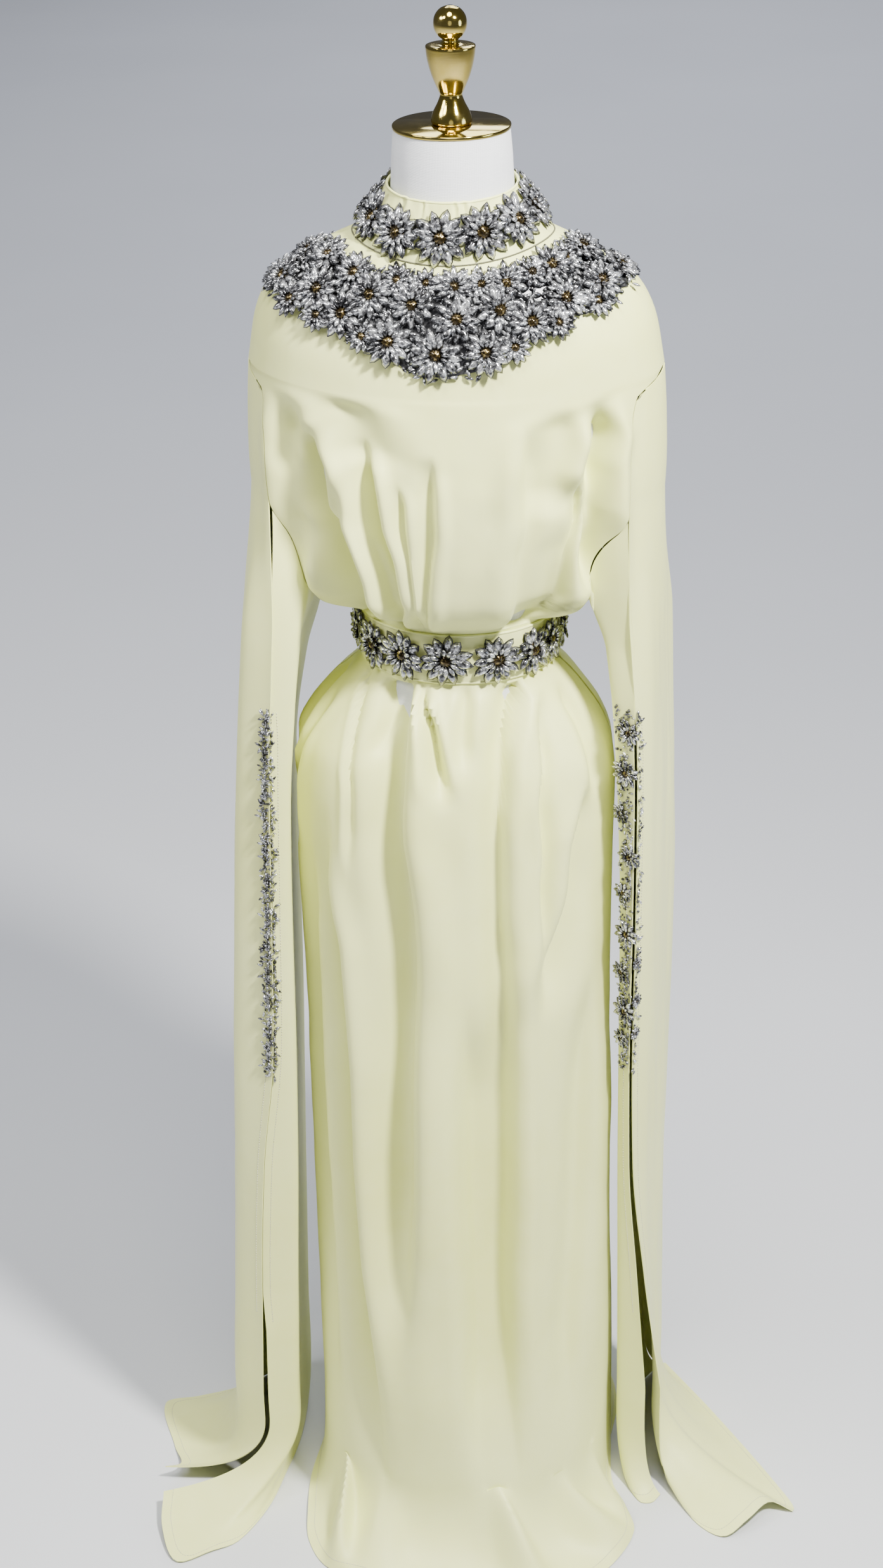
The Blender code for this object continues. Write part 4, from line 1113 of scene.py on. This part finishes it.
def stone(length, width, height):
    """Marquise stone along +x from the origin: pavilion, girdle, crown and table."""
    outline = np.array([(x * length, y * width / 2) for x, y in STONE_STEPS])
    middle = np.array([length / 2, 0.0])
    rings = []
    for scale, z in ((0.80, 0.0), (1.0, 0.35 * height), (0.52, height)):
        ring_xy = middle + (outline - middle) * scale
        rings.append(np.column_stack([ring_xy, np.full(len(outline), z)]))
    n = len(outline)
    faces = [(i + r * n, (i + 1) % n + r * n, (i + 1) % n + (r + 1) * n) for r in range(2) for i in range(n)]
    faces += [(i + r * n, (i + 1) % n + (r + 1) * n, i + (r + 1) * n) for r in range(2) for i in range(n)]
    faces += [(0, i + 1, i) for i in range(1, n - 1)]
    faces += [(2 * n, 2 * n + i, 2 * n + i + 1) for i in range(1, n - 1)]
    return np.concatenate(rings), np.array(faces)


def bar(length, width, height):
    """Stitch along +x from the origin, narrower on top."""
    corners = [(x, y * scale, z) for z, scale in ((0.0, 1.0), (height, 0.6))
               for x, y in ((0, -width / 2), (length, -width / 2), (length, width / 2), (0, width / 2))]
    faces = [(0, 2, 1), (0, 3, 2), (4, 5, 6), (4, 6, 7)]
    for i in range(4):
        j = (i + 1) % 4
        faces += [(i, j, j + 4), (i, j + 4, i + 4)]
    return np.array(corners), np.array(faces)


def bead(radius, squash=1.0, sides=7, tiers=4):
    """Cut bead or domed button on the ground."""
    points, faces = [(0, 0, 0)], []
    for tier in range(tiers):
        a = math.pi / 2 * tier / tiers
        for s in range(sides):
            t = 2 * math.pi * (s + 0.5 * (tier % 2)) / sides
            points.append((radius * math.cos(a) * math.cos(t), radius * math.cos(a) * math.sin(t),
                           radius * squash * math.sin(a)))
    points.append((0, 0, radius * squash))
    for s in range(sides):
        faces.append((0, 1 + (s + 1) % sides, 1 + s))
        for tier in range(tiers - 1):
            a, b = 1 + tier * sides + s, 1 + tier * sides + (s + 1) % sides
            faces += [(a, b, b + sides), (a, b + sides, a + sides)]
        top = 1 + (tiers - 1) * sides
        faces.append((top + s, top + (s + 1) % sides, len(points) - 1))
    return np.array(points), np.array(faces)


class Jewels:
    """Gathers small shapes into one mesh."""

    def __init__(self):
        self.points, self.faces, self.count = [], [], 0

    def add(self, shape, axes, origin):
        """Adds a shape whose x, y and z lie along the rows of axes."""
        points, faces = shape
        self.points.append(points @ axes + origin)
        self.faces.append(faces + self.count)
        self.count += len(points)

    def piece(self, name, finish, slot_name, nodes=(), smooth_angle=0.0):
        return mesh_piece(name, np.concatenate(self.points), np.concatenate(self.faces), finish,
                          nodes, smooth_angle)


def axes_at(normal, upright):
    """Rows: x across, y up the surface and z out of it."""
    normal = normal / np.linalg.norm(normal)
    up = upright - normal * np.dot(upright, normal)
    up = up / np.linalg.norm(up)
    return np.stack([np.cross(up, normal), up, normal])


def turned_axes(axes, angle, tilt):
    """Axes turned about the normal, with the x axis then lifted out of the surface."""
    c, s = math.cos(angle), math.sin(angle)
    along = axes[0] * c + axes[1] * s
    side = -axes[0] * s + axes[1] * c
    ct, st = math.cos(tilt), math.sin(tilt)
    return np.stack([along * ct + axes[2] * st, side, axes[2] * ct - along * st])


def flower(kit, draw, centre, normal, upright, radius, petals=11, lift=0.0):
    """Two tiers of marquise petals round a smoked gold heart."""
    stones, claws, hearts = kit
    axes = axes_at(normal, upright)
    first = draw.uniform(0, 2 * math.pi)
    for k in range(petals):
        angle = first + 2 * math.pi * (k + draw.uniform(-0.16, 0.16)) / petals
        reach = radius * draw.uniform(0.66, 0.76)
        wide = radius * draw.uniform(0.30, 0.38)
        tilt = draw.uniform(0.02, 0.16)
        place = turned_axes(axes, angle, tilt)
        start = centre + axes[2] * lift + place[0] * radius * 0.25
        stones.add(stone(reach, wide, radius * 0.12), place, start + axes[2] * radius * 0.035)
        claws.add(stone(reach * 1.08, wide * 1.22, radius * 0.06), place, start - place[0] * reach * 0.04)
    for k in range(petals):
        angle = first + 2 * math.pi * (k + 0.5 + draw.uniform(-0.12, 0.12)) / petals
        place = turned_axes(axes, angle, draw.uniform(0.25, 0.45))
        start = centre + axes[2] * (lift + radius * 0.06) + place[0] * radius * 0.20
        stones.add(stone(radius * draw.uniform(0.36, 0.46), radius * 0.20, radius * 0.10), place, start)
    middle = centre + axes[2] * (lift + radius * 0.05)
    hearts.add(bead(radius * 0.26, 0.72), axes, middle)
    for k in range(9):
        place = turned_axes(axes, 2 * math.pi * k / 9 + first, 0.0)
        hearts.add(bead(radius * 0.075, 1.2, 6, 3), place, middle + place[0] * radius * 0.30)


def grid_frame(grid, row, column):
    """Point and outward direction at a fractional row and column of a grid."""
    r, c = int(min(row, grid.shape[0] - 2)), int(min(column, grid.shape[1] - 2))
    fr, fc = row - r, column - c
    quad = grid[r:r + 2, c:c + 2]
    upper = quad[0, 0] * (1 - fc) + quad[0, 1] * fc
    lower = quad[1, 0] * (1 - fc) + quad[1, 1] * fc
    point = upper * (1 - fr) + lower * fr
    normal = np.cross(quad[1, 0] - quad[0, 0] + quad[1, 1] - quad[0, 1],
                      quad[0, 1] - quad[0, 0] + quad[1, 1] - quad[1, 0])
    return point, normal / np.linalg.norm(normal)


def stitches(kit, line, outward, pitch=0.0032, length=0.0022, thick=0.00035):
    """A run of machine stitches along a line of points, sitting on the cloth."""
    step = np.concatenate([[0], np.cumsum(np.linalg.norm(np.diff(line, axis=0), axis=1))])
    count = int(step[-1] / pitch)
    shape = bar(length, thick * 2.2, thick)
    for i in range(count):
        at = i * pitch
        a = np.array([np.interp(at, step, line[:, k]) for k in range(3)])
        b = np.array([np.interp(at + length, step, line[:, k]) for k in range(3)])
        n = np.array([np.interp(at, step, outward[:, k]) for k in range(3)])
        along = b - a
        if np.linalg.norm(along) < 1e-6:
            continue
        along = along / np.linalg.norm(along)
        n = n - along * np.dot(n, along)
        n = n / np.linalg.norm(n)
        kit.add(shape, np.stack([along, np.cross(n, along), n]), a)


def tube(name, path, radius, sides, finish, closed=False, nodes=()):
    """Round cord along a path."""
    path = np.asarray(path)
    ahead = np.roll(path, -1, axis=0) - np.roll(path, 1, axis=0) if closed else np.gradient(path, axis=0)
    ahead = ahead / np.linalg.norm(ahead, axis=1, keepdims=True)
    up = np.tile([0.0, 0.0, 1.0], (len(path), 1))
    side = np.cross(ahead, up)
    side = side / np.maximum(np.linalg.norm(side, axis=1, keepdims=True), 1e-9)
    up = np.cross(side, ahead)
    turn = np.linspace(0, 2 * math.pi, sides, endpoint=False)
    rings = path[:, None] + radius * (side[:, None] * np.cos(turn)[None, :, None]
                                      + up[:, None] * np.sin(turn)[None, :, None])
    n = len(path)
    last = n if closed else n - 1
    faces = [(i * sides + j, i * sides + (j + 1) % sides, (i + 1) % n * sides + (j + 1) % sides,
              (i + 1) % n * sides + j) for i in range(last) for j in range(sides)]
    if not closed:
        faces += [tuple(reversed(range(sides))), tuple(range((n - 1) * sides, n * sides))]
    return mesh_piece(name, rings.reshape(-1, 3), faces, finish, nodes)


# The dress form and its stand


def make_form(linen, brass, steel):
    sides = FORM_SIDES
    angle = np.linspace(0, 2 * math.pi, sides, endpoint=False)
    rows = []
    for part, count in zip((table(NECK), None, table(TRUNK)), FORM_ROWS):
        if part is None:
            yoke_rows = np.array([yoke_points(angle, np.full(sides, way))
                                  for way in np.linspace(0.0, SHOULDER_WAY, count)])
            rows += list(moved_out(yoke_rows, -(CLOTH_WALL + FORM_GAP)))
            continue
        knots = np.arange(len(part["front"]), dtype=float)
        for at in np.linspace(0, knots[-1], count):
            at_row = [smooth(knots, column, at) for column in part.values()]
            half, front, back, side_z, front_z, back_z = at_row
            x, y = ring(angle, half, front, back)
            middle = np.where(np.cos(angle) > 0, front_z, back_z)
            rows.append(np.stack([x, y, side_z + (middle - side_z) * np.cos(angle) ** 2], -1))
    grid = np.array(rows)
    count = len(grid) * sides
    faces = [tuple(range(sides)), tuple(reversed(range(count - sides, count)))]
    for r in range(len(grid) - 1):
        for c in range(sides):
            a, b = r * sides + c, r * sides + (c + 1) % sides
            faces.append((a, a + sides, b + sides, b))
    mesh_piece("form_torso_linen", grid.reshape(-1, 3), faces, linen, ["form_torso"], 60)
    turned_piece("neck_cap_brass", resampled(table(CAP_PROFILE), 14), 128, brass, ["neck_cap"])
    turned_piece("finial_brass", resampled(table(FINIAL_PROFILE), 150), 96, brass, ["finial"], 40)
    turned_piece("stand_pole_steel", ([POLE_RADIUS] * 2, [BASE_THICKNESS + SEAM_GAP, POLE_TOP_Z]), 64, steel,
                 ["stand_pole"])
    turned_piece("stand_base_steel", profile(BASE_PROFILE), 144, steel, ["stand_base"])


# The kaftan's cloth


def with_floor_folds(rows, share, floor_folds):
    """Floor rows raised into folds that run out from the hanging cloth."""
    made = []
    for i, row in enumerate(rows):
        t = (i + 1) / len(rows)
        row = row.copy()
        for place, drift, width, height in floor_folds:
            hump = np.exp(-((share - place - drift * t) / width) ** 2)
            row[:, 2] += hump * height * math.sin(math.pi * min(1.0, t * 0.97 + 0.03)) ** 0.8
        made.append(row)
    return made


def panel_grids(centre, mesh_size, hem, floor_folds, seed):
    """Bodice and skirt of the front or back, meeting under the belt."""
    columns, bodice_rows, skirt_rows, floor_count = mesh_size
    share = np.linspace(-1, 1, columns)
    middle = math.radians(centre)
    girth = share * 0.30
    rows = [yoke_points(middle + share * math.radians(PANEL_EDGE_DEGREES), np.full(columns, way))
            for way in np.linspace(0, 1, bodice_rows // 4)]

    def body_row(z):
        edge = smooth(armhole["height"][::-1], armhole["edge_angle"][::-1], z)
        edge = math.radians(min(float(edge), PANEL_EDGE_DEGREES))
        width = float(level(body, "half_width", z))
        calm = np.clip(abs(z - 1.037) / 0.12, 0, 1) * np.clip((1.30 - z) / 0.1, 0, 1)
        edge_calm = np.clip((1 - np.abs(share)) / 0.08, 0, 1)
        out = ripple(girth, np.full(columns, z * 0.45), seed, 0.16) * RIPPLE_HEIGHT * calm * edge_calm
        return body_points(middle + share * (edge - SEAM_GAP * 0.5 / width), np.full(columns, z), out)

    rows += [body_row(z) for z in evenly(bodice_rows * 3 // 4, body, "half_width", 1.306, WAIST_Z + 0.0006)]
    skirt = [body_row(z) for z in evenly(skirt_rows, body, "half_width", WAIST_Z, LAST_HANGING_Z)]
    line = hem_row(hem, (share + 1) / 2)
    floor_rows = to_floor(skirt[-1], skirt[-3], line, floor_count)
    skirt += with_floor_folds(floor_rows, (share + 1) / 2, floor_folds)
    return np.array(rows), np.array(skirt)


def sleeve_wave(seed, share, z):
    """Soft waves along a hanging sleeve, none at its edges."""
    return ripple(share * 0.2, z * 0.3, seed, 0.12) * SLEEVE_RIPPLE * np.sin(share * math.pi) ** 1.5


def outer_sleeve_grid(columns, side, hem):
    """Outer length: hangs from the dropped shoulder seam, slit edge round to the back fold."""
    share = np.linspace(0, 1, SLEEVE_COLUMNS)
    rows = []
    for z in np.linspace(1.3010, SLEEVE_SEAM_Z, SLEEVE_TOP_ROWS):
        edge = armhole_angle(z) + SEAM_GAP * 1.6 / RING_RADIUS
        angle = edge + (math.pi - 2 * edge) * share
        ceiling = armhole_height(np.minimum(angle, math.pi - angle)) - CAP_GAP
        height = ceiling if not rows else np.minimum(z, ceiling - 0.0004)
        rows.append(body_points(angle * side, height))
    cap = rows[-1]
    for z in np.linspace(SLEEVE_SEAM_Z - 0.006, LAST_SLEEVE_Z, SLEEVE_ROWS):
        row = sleeve_points(columns, side, z, share, 1)
        blend = fade((SLEEVE_SEAM_Z - z) / (SLEEVE_SEAM_Z - CAP_BLEND_Z))
        start = sleeve_points(columns, side, SLEEVE_SEAM_Z, share, 1)
        row[:, :2] += (cap - start)[:, :2] * blend
        row[:, 0] += side * np.maximum(sleeve_wave(11, share, z), -0.0015) * np.clip((1.15 - z) / 0.1, 0, 1)
        rows.append(row)
    rows += to_floor(rows[-1], rows[-3], hem_row(hem, share), SLEEVE_FLOOR_ROWS)
    grid = np.array(rows)
    return grid if side > 0 else grid[:, ::-1]


def inner_sleeve_grid(columns, side, hem):
    """Inner length: hangs from the lower armhole on the body's side, slit edge to the back fold."""
    share = np.linspace(0, 1, SLEEVE_COLUMNS)
    highest = SLEEVE_SEAM_Z - CORNER_DROP
    top_z = highest - (highest - UNDERARM_Z) * np.sin(share * math.pi) ** 0.7
    edge = armhole_angle(top_z) + SEAM_GAP / RING_RADIUS
    angle = np.where(share < 0.5, edge, math.pi - edge)
    angle = np.where(np.abs(share - 0.5) < 0.008, math.pi / 2, angle)
    top = body_points(angle * side, top_z)
    top[:, 2] -= SEAM_GAP * 4 * np.sin(share * math.pi)
    start = sleeve_points(columns, side, top[:, 2], share, -1)
    rows = []
    for t in np.linspace(0, 1, SLEEVE_TOP_ROWS):
        z = top[:, 2] * (1 - t) + CAP_BLEND_Z * t
        row = sleeve_points(columns, side, z, share, -1)
        rows.append(row + (top - start) * fade(t))
    for z in np.linspace(CAP_BLEND_Z - 0.006, LAST_SLEEVE_Z, SLEEVE_ROWS):
        row = sleeve_points(columns, side, z, share, -1)
        rows.append(row)
    rows += to_floor(rows[-1], rows[-3], hem_row(hem, share), SLEEVE_FLOOR_ROWS)
    grid = np.array(rows)
    return grid[:, ::-1] if side > 0 else grid


def edge_line(grid, column_way, inset):
    """Line of points on a grid a distance in from its left or right edge, with outward directions."""
    line, outward = [], []
    n = normals(grid)
    for r in range(grid.shape[0]):
        row, tips = (grid[r], n[r]) if column_way > 0 else (grid[r][::-1], n[r][::-1])
        step = np.concatenate([[0], np.cumsum(np.linalg.norm(np.diff(row, axis=0), axis=1))])
        line.append([np.interp(inset, step, row[:, k]) for k in range(3)])
        outward.append([np.interp(inset, step, tips[:, k]) for k in range(3)])
    return np.array(line), np.array(outward)


def hem_line(grid, inset):
    """Line of points a distance in from a grid's last row."""
    flipped = np.swapaxes(grid, 0, 1)[:, ::-1]
    line, outward = [], []
    n = np.swapaxes(normals(grid), 0, 1)[:, ::-1]
    for row, tips in zip(flipped, n):
        step = np.concatenate([[0], np.cumsum(np.linalg.norm(np.diff(row, axis=0), axis=1))])
        line.append([np.interp(inset, step, row[:, k]) for k in range(3)])
        outward.append([np.interp(inset, step, tips[:, k]) for k in range(3)])
    return np.array(line), np.array(outward)


def make_collar(satin, kit, draw):
    angle_count, way_count = COLLAR_MESH
    ways = np.linspace(0, 1, way_count)
    grid = collar_grid(angle_count, ways)
    angle = np.linspace(0, 2 * math.pi, angle_count, endpoint=False)
    apart = (angle + math.pi) % (2 * math.pi) - math.pi
    push = np.zeros(grid.shape[:2])
    for centre, width, depth in COLLAR_PLEATS:
        q = ((np.degrees(apart) - centre) / width) ** 2
        push += depth * np.exp(-q)[None, :] * np.clip(1 - ways / 0.55, 0, 1)[:, None]
    push += 0.0006 * ripple(np.degrees(apart)[None, :] * 0.0014, ways[:, None] * 0.05, 5, 0.05)
    push *= np.clip(ways / 0.04, 0.35, 1)[:, None] * np.clip((1 - ways) / 0.06, 0, 1)[:, None]
    grid = moved_out(grid, push)
    piece = cloth_piece("collar_satin", grid, satin, ["collar"], closed=True, wall=COLLAR_WALL)
    top = moved_out(grid, -COLLAR_WALL / 2)[0]
    edge = tube("collar_rolled_edge", top + np.array([0, 0, 0.0003]), ROLLED_EDGE_RADIUS, 10, satin,
                closed=True, nodes=["collar"])
    for degrees, way, radius in zip(*table(COLLAR_BLOOMS).values()):
        point, normal = grid_frame(grid, way * (len(ways) - 1), (degrees % 360) / 360 * angle_count)
        flower(kit, draw, point, normal, np.array([0, 0, 1.0]), radius * COLLAR_SPREAD, 12)
    return piece, edge


def make_belt(satin, kit, draw):
    angle_count, row_count = BELT_MESH
    angle = np.linspace(0, 2 * math.pi, angle_count, endpoint=False)
    ways = np.linspace(0, 1, row_count)
    rows = []
    for t in ways:
        x, y = ring(angle, BELT_HALF_WIDTH, BELT_FRONT, BELT_BACK)
        z = BELT_TOP_Z + (BELT_BOTTOM_Z - BELT_TOP_Z) * t
        rows.append(np.stack([x, y, np.full(len(angle), z)], -1))
    grid = np.array(rows)
    crown = 0.0008 * np.sin(ways * math.pi)[:, None]
    soft = 0.0004 * ripple(angle[None, :] * 0.09, 0.05 * ways[:, None], 9, 0.06)
    grid = moved_out(grid, crown + soft)
    piece = cloth_piece("belt_satin", grid, satin, ["belt"], closed=True, wall=BELT_WALL)
    cords = []
    for name, row in (("belt_top_piping", 0), ("belt_bottom_piping", -1)):
        path = moved_out(grid, -BELT_WALL * 0.4)[row]
        cords.append(tube(name, path, PIPING_RADIUS, 10, satin, closed=True, nodes=["belt"]))
    for degrees, z, radius in zip(*table(BELT_BLOOMS).values()):
        row = (BELT_TOP_Z - z) / (BELT_TOP_Z - BELT_BOTTOM_Z) * (row_count - 1)
        point, normal = grid_frame(grid, row, (degrees % 360) / 360 * angle_count)
        flower(kit, draw, point, normal, np.array([0, 0, 1.0]), radius * BELT_SPREAD, 12)
    return piece, cords


def make_yoke(kit, draw, net_finish):
    """Crescent of packed flowers over a net, from shoulder to shoulder."""
    bounds, blooms = table(CRESCENT), table(YOKE_BLOOMS)
    columns, row_count = NET_MESH
    angle = np.linspace(bounds["angle"][0], bounds["angle"][-1], columns)
    ways = np.linspace(0, 1, row_count)
    top = smooth(bounds["angle"], bounds["top_way"], angle) + 0.035
    bottom = smooth(bounds["angle"], bounds["bottom_way"], angle) - 0.05
    ragged = 0.022 * ripple(angle * 0.002, 0 * angle, 21, 0.02)
    grid = np.array([yoke_points(np.radians(angle), top + ragged + (bottom - top - ragged * 2) * t)
                     for t in ways])
    bumps = 0.0007 * (1 + ripple(angle[None, :] * 0.002, 0.07 * ways[:, None], 23, 0.008))
    vertices = np.concatenate([moved_out(grid, CLOTH_LIFT + 0.0006 + bumps).reshape(-1, 3),
                               moved_out(grid, CLOTH_LIFT).reshape(-1, 3)])
    faces = sheet_faces(row_count, columns, False)
    mesh_piece("yoke_net", vertices, faces, net_finish, ["yoke_flowers"])
    step = 0.004

    def on_yoke(degrees, way):
        a = math.radians(degrees)
        spot = yoke_points(np.array([a, a + step, a]), np.array([way, way, way + step]))
        normal = np.cross(spot[2] - spot[0], spot[1] - spot[0])
        return spot[0], normal / np.linalg.norm(normal)

    up = np.array([0, 0, 1.0])
    for i, (degrees, way, radius) in enumerate(zip(*blooms.values())):
        point, normal = on_yoke(degrees, way)
        lift = 0.0011 * (i % 3)
        flower(kit, draw, point + normal * 0.0025, normal, up, radius * YOKE_SPREAD, 12, lift=lift)
    stones, claws = kit[:2]
    for _ in range(YOKE_FILL):
        degrees = draw.uniform(bounds["angle"][0], bounds["angle"][-1])
        low = float(smooth(bounds["angle"], bounds["top_way"], degrees)) + 0.02
        high = float(smooth(bounds["angle"], bounds["bottom_way"], degrees)) - 0.03
        way, size, twist = draw.uniform(low, high), draw.uniform(0.0060, 0.0110), draw.uniform(0, 2 * math.pi)
        point, normal = on_yoke(degrees, way)
        axes = turned_axes(axes_at(normal, up), twist, draw.uniform(0.05, 0.50))
        spot = point + normal * draw.uniform(0.0015, 0.0036)
        if draw.uniform() < 0.82:
            stones.add(stone(size, size * 0.42, 0.0016), axes, spot)
        else:
            (stones if draw.uniform() < 0.6 else claws).add(bead(size * 0.26, 0.8, 6, 3), axes, spot)


def make_slit_trims(columns, side, face, kit, draw):
    """Flowers, leaves and beads beside one edge of a sleeve's slit."""
    stones, claws = kit[:2]
    width = TRIM_SHARES[(side, face)]
    up = np.array([0, 0, 1.0])

    def on_sleeve(z, share):
        share = min(max(share, 0.004), 0.3)
        heights, shares = np.array([z, z, z + 0.004]), np.array([share, share + 0.01, share])
        spot = sleeve_points(columns, side, heights, shares, face)
        normal = np.cross(spot[1] - spot[0], spot[2] - spot[0]) * side * face
        normal = normal / np.linalg.norm(normal)
        outward = side * face
        return spot[0], normal if normal[0] * outward > 0 else -normal

    blooms = SLIT_BLOOMS[(side, face)]
    for z, share, radius in blooms:
        point, normal = on_sleeve(z, share)
        if side < 0:
            normal = np.array(LEFT_TRIM_FACING)
        flower(kit, draw, point + normal * 0.0006, normal, up, radius, 10, lift=draw.uniform(0, 0.0012))
    for z in np.arange(SLIT_TRIM_TOP_Z, SLIT_TRIM_END_Z - 0.006, -0.0042):
        for _ in range(TRIM_STONES[(side, face)]):
            share = draw.uniform(0.0, width)
            point, normal = on_sleeve(z + draw.uniform(-0.002, 0.002), share)
            axes = turned_axes(axes_at(normal, up), draw.uniform(0, 2 * math.pi), draw.uniform(0.1, 0.5))
            size = draw.uniform(0.0045, 0.0085)
            if draw.uniform() < 0.6:
                stones.add(stone(size, size * 0.42, 0.0016), axes, point + normal * 0.0010)
            elif draw.uniform() < 0.6:
                stones.add(bead(size * 0.28, 0.9, 6, 3), axes, point + normal * 0.0008)
            else:
                claws.add(bead(size * 0.24, 1.0, 6, 3), axes, point + normal * 0.0008)


def jewel_pieces(name, kit, finishes, nodes):
    """The stones, claws and hearts of one trim as three joined meshes."""
    made = []
    for label, jewels, finish in zip(("stones", "claws", "hearts"), kit, finishes):
        if jewels.points:
            made.append(jewels.piece(f"{name}_{label}", finish, "crystal", nodes))
    return made


def new_kit():
    return Jewels(), Jewels(), Jewels()


# The seam finish is the painted shadow of the collar's seam
def make_kaftan(satin, thread, seam, jewels):
    draw = np.random.RandomState(41)
    front_bodice, front_skirt = panel_grids(0, FRONT_MESH, FRONT_HEM, FRONT_FLOOR_FOLDS, 3)
    back_bodice, back_skirt = panel_grids(180, BACK_MESH, BACK_HEM, BACK_FLOOR_FOLDS, 8)
    kit = new_kit()
    collar, rolled = make_collar(satin, kit, draw)
    collar_jewels = jewel_pieces("collar", kit, jewels, ["collar"])
    seam_angle = np.linspace(0, 2 * math.pi, 360, endpoint=False)
    seam_shadow_path = yoke_points(seam_angle, np.full(360, 0.004)) + np.array([0, 0, 0.0009])
    # Thin dark cord round the collar's seam, painted as the shadow in the groove between collar and yoke
    tube("collar_seam_shadow_line", seam_shadow_path, SEAM_SHADOW_RADIUS, 8, seam, closed=True, nodes=["collar"])
    kit = new_kit()
    belt, cords = make_belt(satin, kit, draw)
    belt_jewels = jewel_pieces("belt", kit, jewels, ["belt"])
    kit = new_kit()
    make_yoke(kit, draw, jewels[1])
    jewel_pieces("yoke", kit, jewels, ["yoke_flowers"])

    seams = Jewels()
    pieces = {
        "bodice_front": (front_bodice, "front_panel"), "skirt_front": (front_skirt, "front_panel"),
        "bodice_back": (back_bodice, "back_panel"), "skirt_back": (back_skirt, "back_panel")}
    for name, (grid, node_name) in pieces.items():
        cloth_piece(name, grid, satin, [node_name])
    for grid in (front_skirt, back_skirt):
        stitches(seams, *hem_line(grid, HEM_DEPTH))
    for side, label, text, outer_hem, inner_hem in (
            (-1, "left", SLEEVE_LEFT, HEM_OUTER_LEFT, HEM_INNER_LEFT),
            (1, "right", SLEEVE_RIGHT, HEM_OUTER_RIGHT, HEM_INNER_RIGHT)):
        columns = table(text)
        for face, word, grid in ((1, "outer", outer_sleeve_grid(columns, side, outer_hem)),
                                 (-1, "inner", inner_sleeve_grid(columns, side, inner_hem))):
            name = f"sleeve_{word}_{label}"
            cloth_piece(name + "_satin", grid, satin, [name])
            name + "_satin"
            stitches(seams, *hem_line(grid, HEM_DEPTH))
            slit_way = 1 if (side > 0) == (face > 0) else -1
            line, outward = edge_line(grid, slit_way, SLIT_HEM)
            low = (line[:, 2] < SLIT_TRIM_TOP_Z) & (line[:, 2] > SLIT_STITCH_END_Z)
            stitches(seams, line[low], outward[low])
            kit = new_kit()
            make_slit_trims(columns, side, face, kit, draw)
            jewel_pieces(f"slit_{word}_{label}", kit, jewels, [f"slit_trim_{word}_{label}"])
    seams.piece("hem_stitching", thread, "satin", ["front_panel"])


# The room and the camera


def lamp(name, place, target, size, power, colour=(1, 1, 1)):
    light = bpy.data.lights.new(name, "AREA")
    light.shape, light.size, light.energy, light.color = "DISK", size, power, colour
    held = bpy.data.objects.new(name, light)
    bpy.context.collection.objects.link(held)
    held.location = place
    held.rotation_euler = (Vector(target) - Vector(place)).to_track_quat("-Z", "Y").to_euler()


def make_room():
    turn = np.linspace(0, 2 * math.pi, FLOOR_SIDES, endpoint=False)
    mesh = bpy.data.meshes.new("studio_floor")
    mesh.from_pydata([(FLOOR_RADIUS * math.cos(a), FLOOR_RADIUS * math.sin(a), 0) for a in turn], [],
                     [tuple(range(FLOOR_SIDES))])
    mesh.materials.append(floor_finish())
    ground = bpy.data.objects.new("studio_floor", mesh)
    bpy.context.collection.objects.link(ground)
    world = bpy.data.worlds.new("studio_air")
    world.use_nodes = True
    world.node_tree.nodes["Background"].inputs["Color"].default_value = (0.78, 0.80, 0.88, 1)
    world.node_tree.nodes["Background"].inputs["Strength"].default_value = 0.11
    bpy.context.scene.world = world
    for spec in LAMPS:
        lamp(*spec)


def make_camera():
    camera = bpy.data.cameras.new("photo_camera")
    camera.sensor_fit = "VERTICAL"
    camera.sensor_height = SENSOR_HEIGHT
    camera.lens = LENS_PIXELS / PICTURE_HEIGHT * SENSOR_HEIGHT
    camera.clip_start, camera.clip_end = 0.05, 60
    held = bpy.data.objects.new("photo_camera", camera)
    bpy.context.collection.objects.link(held)
    c, s = math.cos(CAMERA_TURN), math.sin(CAMERA_TURN)
    place = (-CAMERA_ASIDE * c + CAMERA_DISTANCE * s, -CAMERA_ASIDE * s - CAMERA_DISTANCE * c, CAMERA_HEIGHT)
    held.matrix_world = (Matrix.Translation(place) @ Matrix.Rotation(CAMERA_TURN, 4, "Z")
                         @ Matrix.Rotation(math.radians(90) - CAMERA_PITCH, 4, "X")
                         @ Matrix.Rotation(-CAMERA_ROLL, 4, "Z"))
    bpy.context.scene.camera = held


make_camera()
make_room()
make_form(linen_finish(), brass_finish(), steel_finish())
jewel_finishes = (stone_finish(), setting_finish(), heart_finish())
make_kaftan(satin_finish(), thread_finish(), seam_shadow_finish(), jewel_finishes)
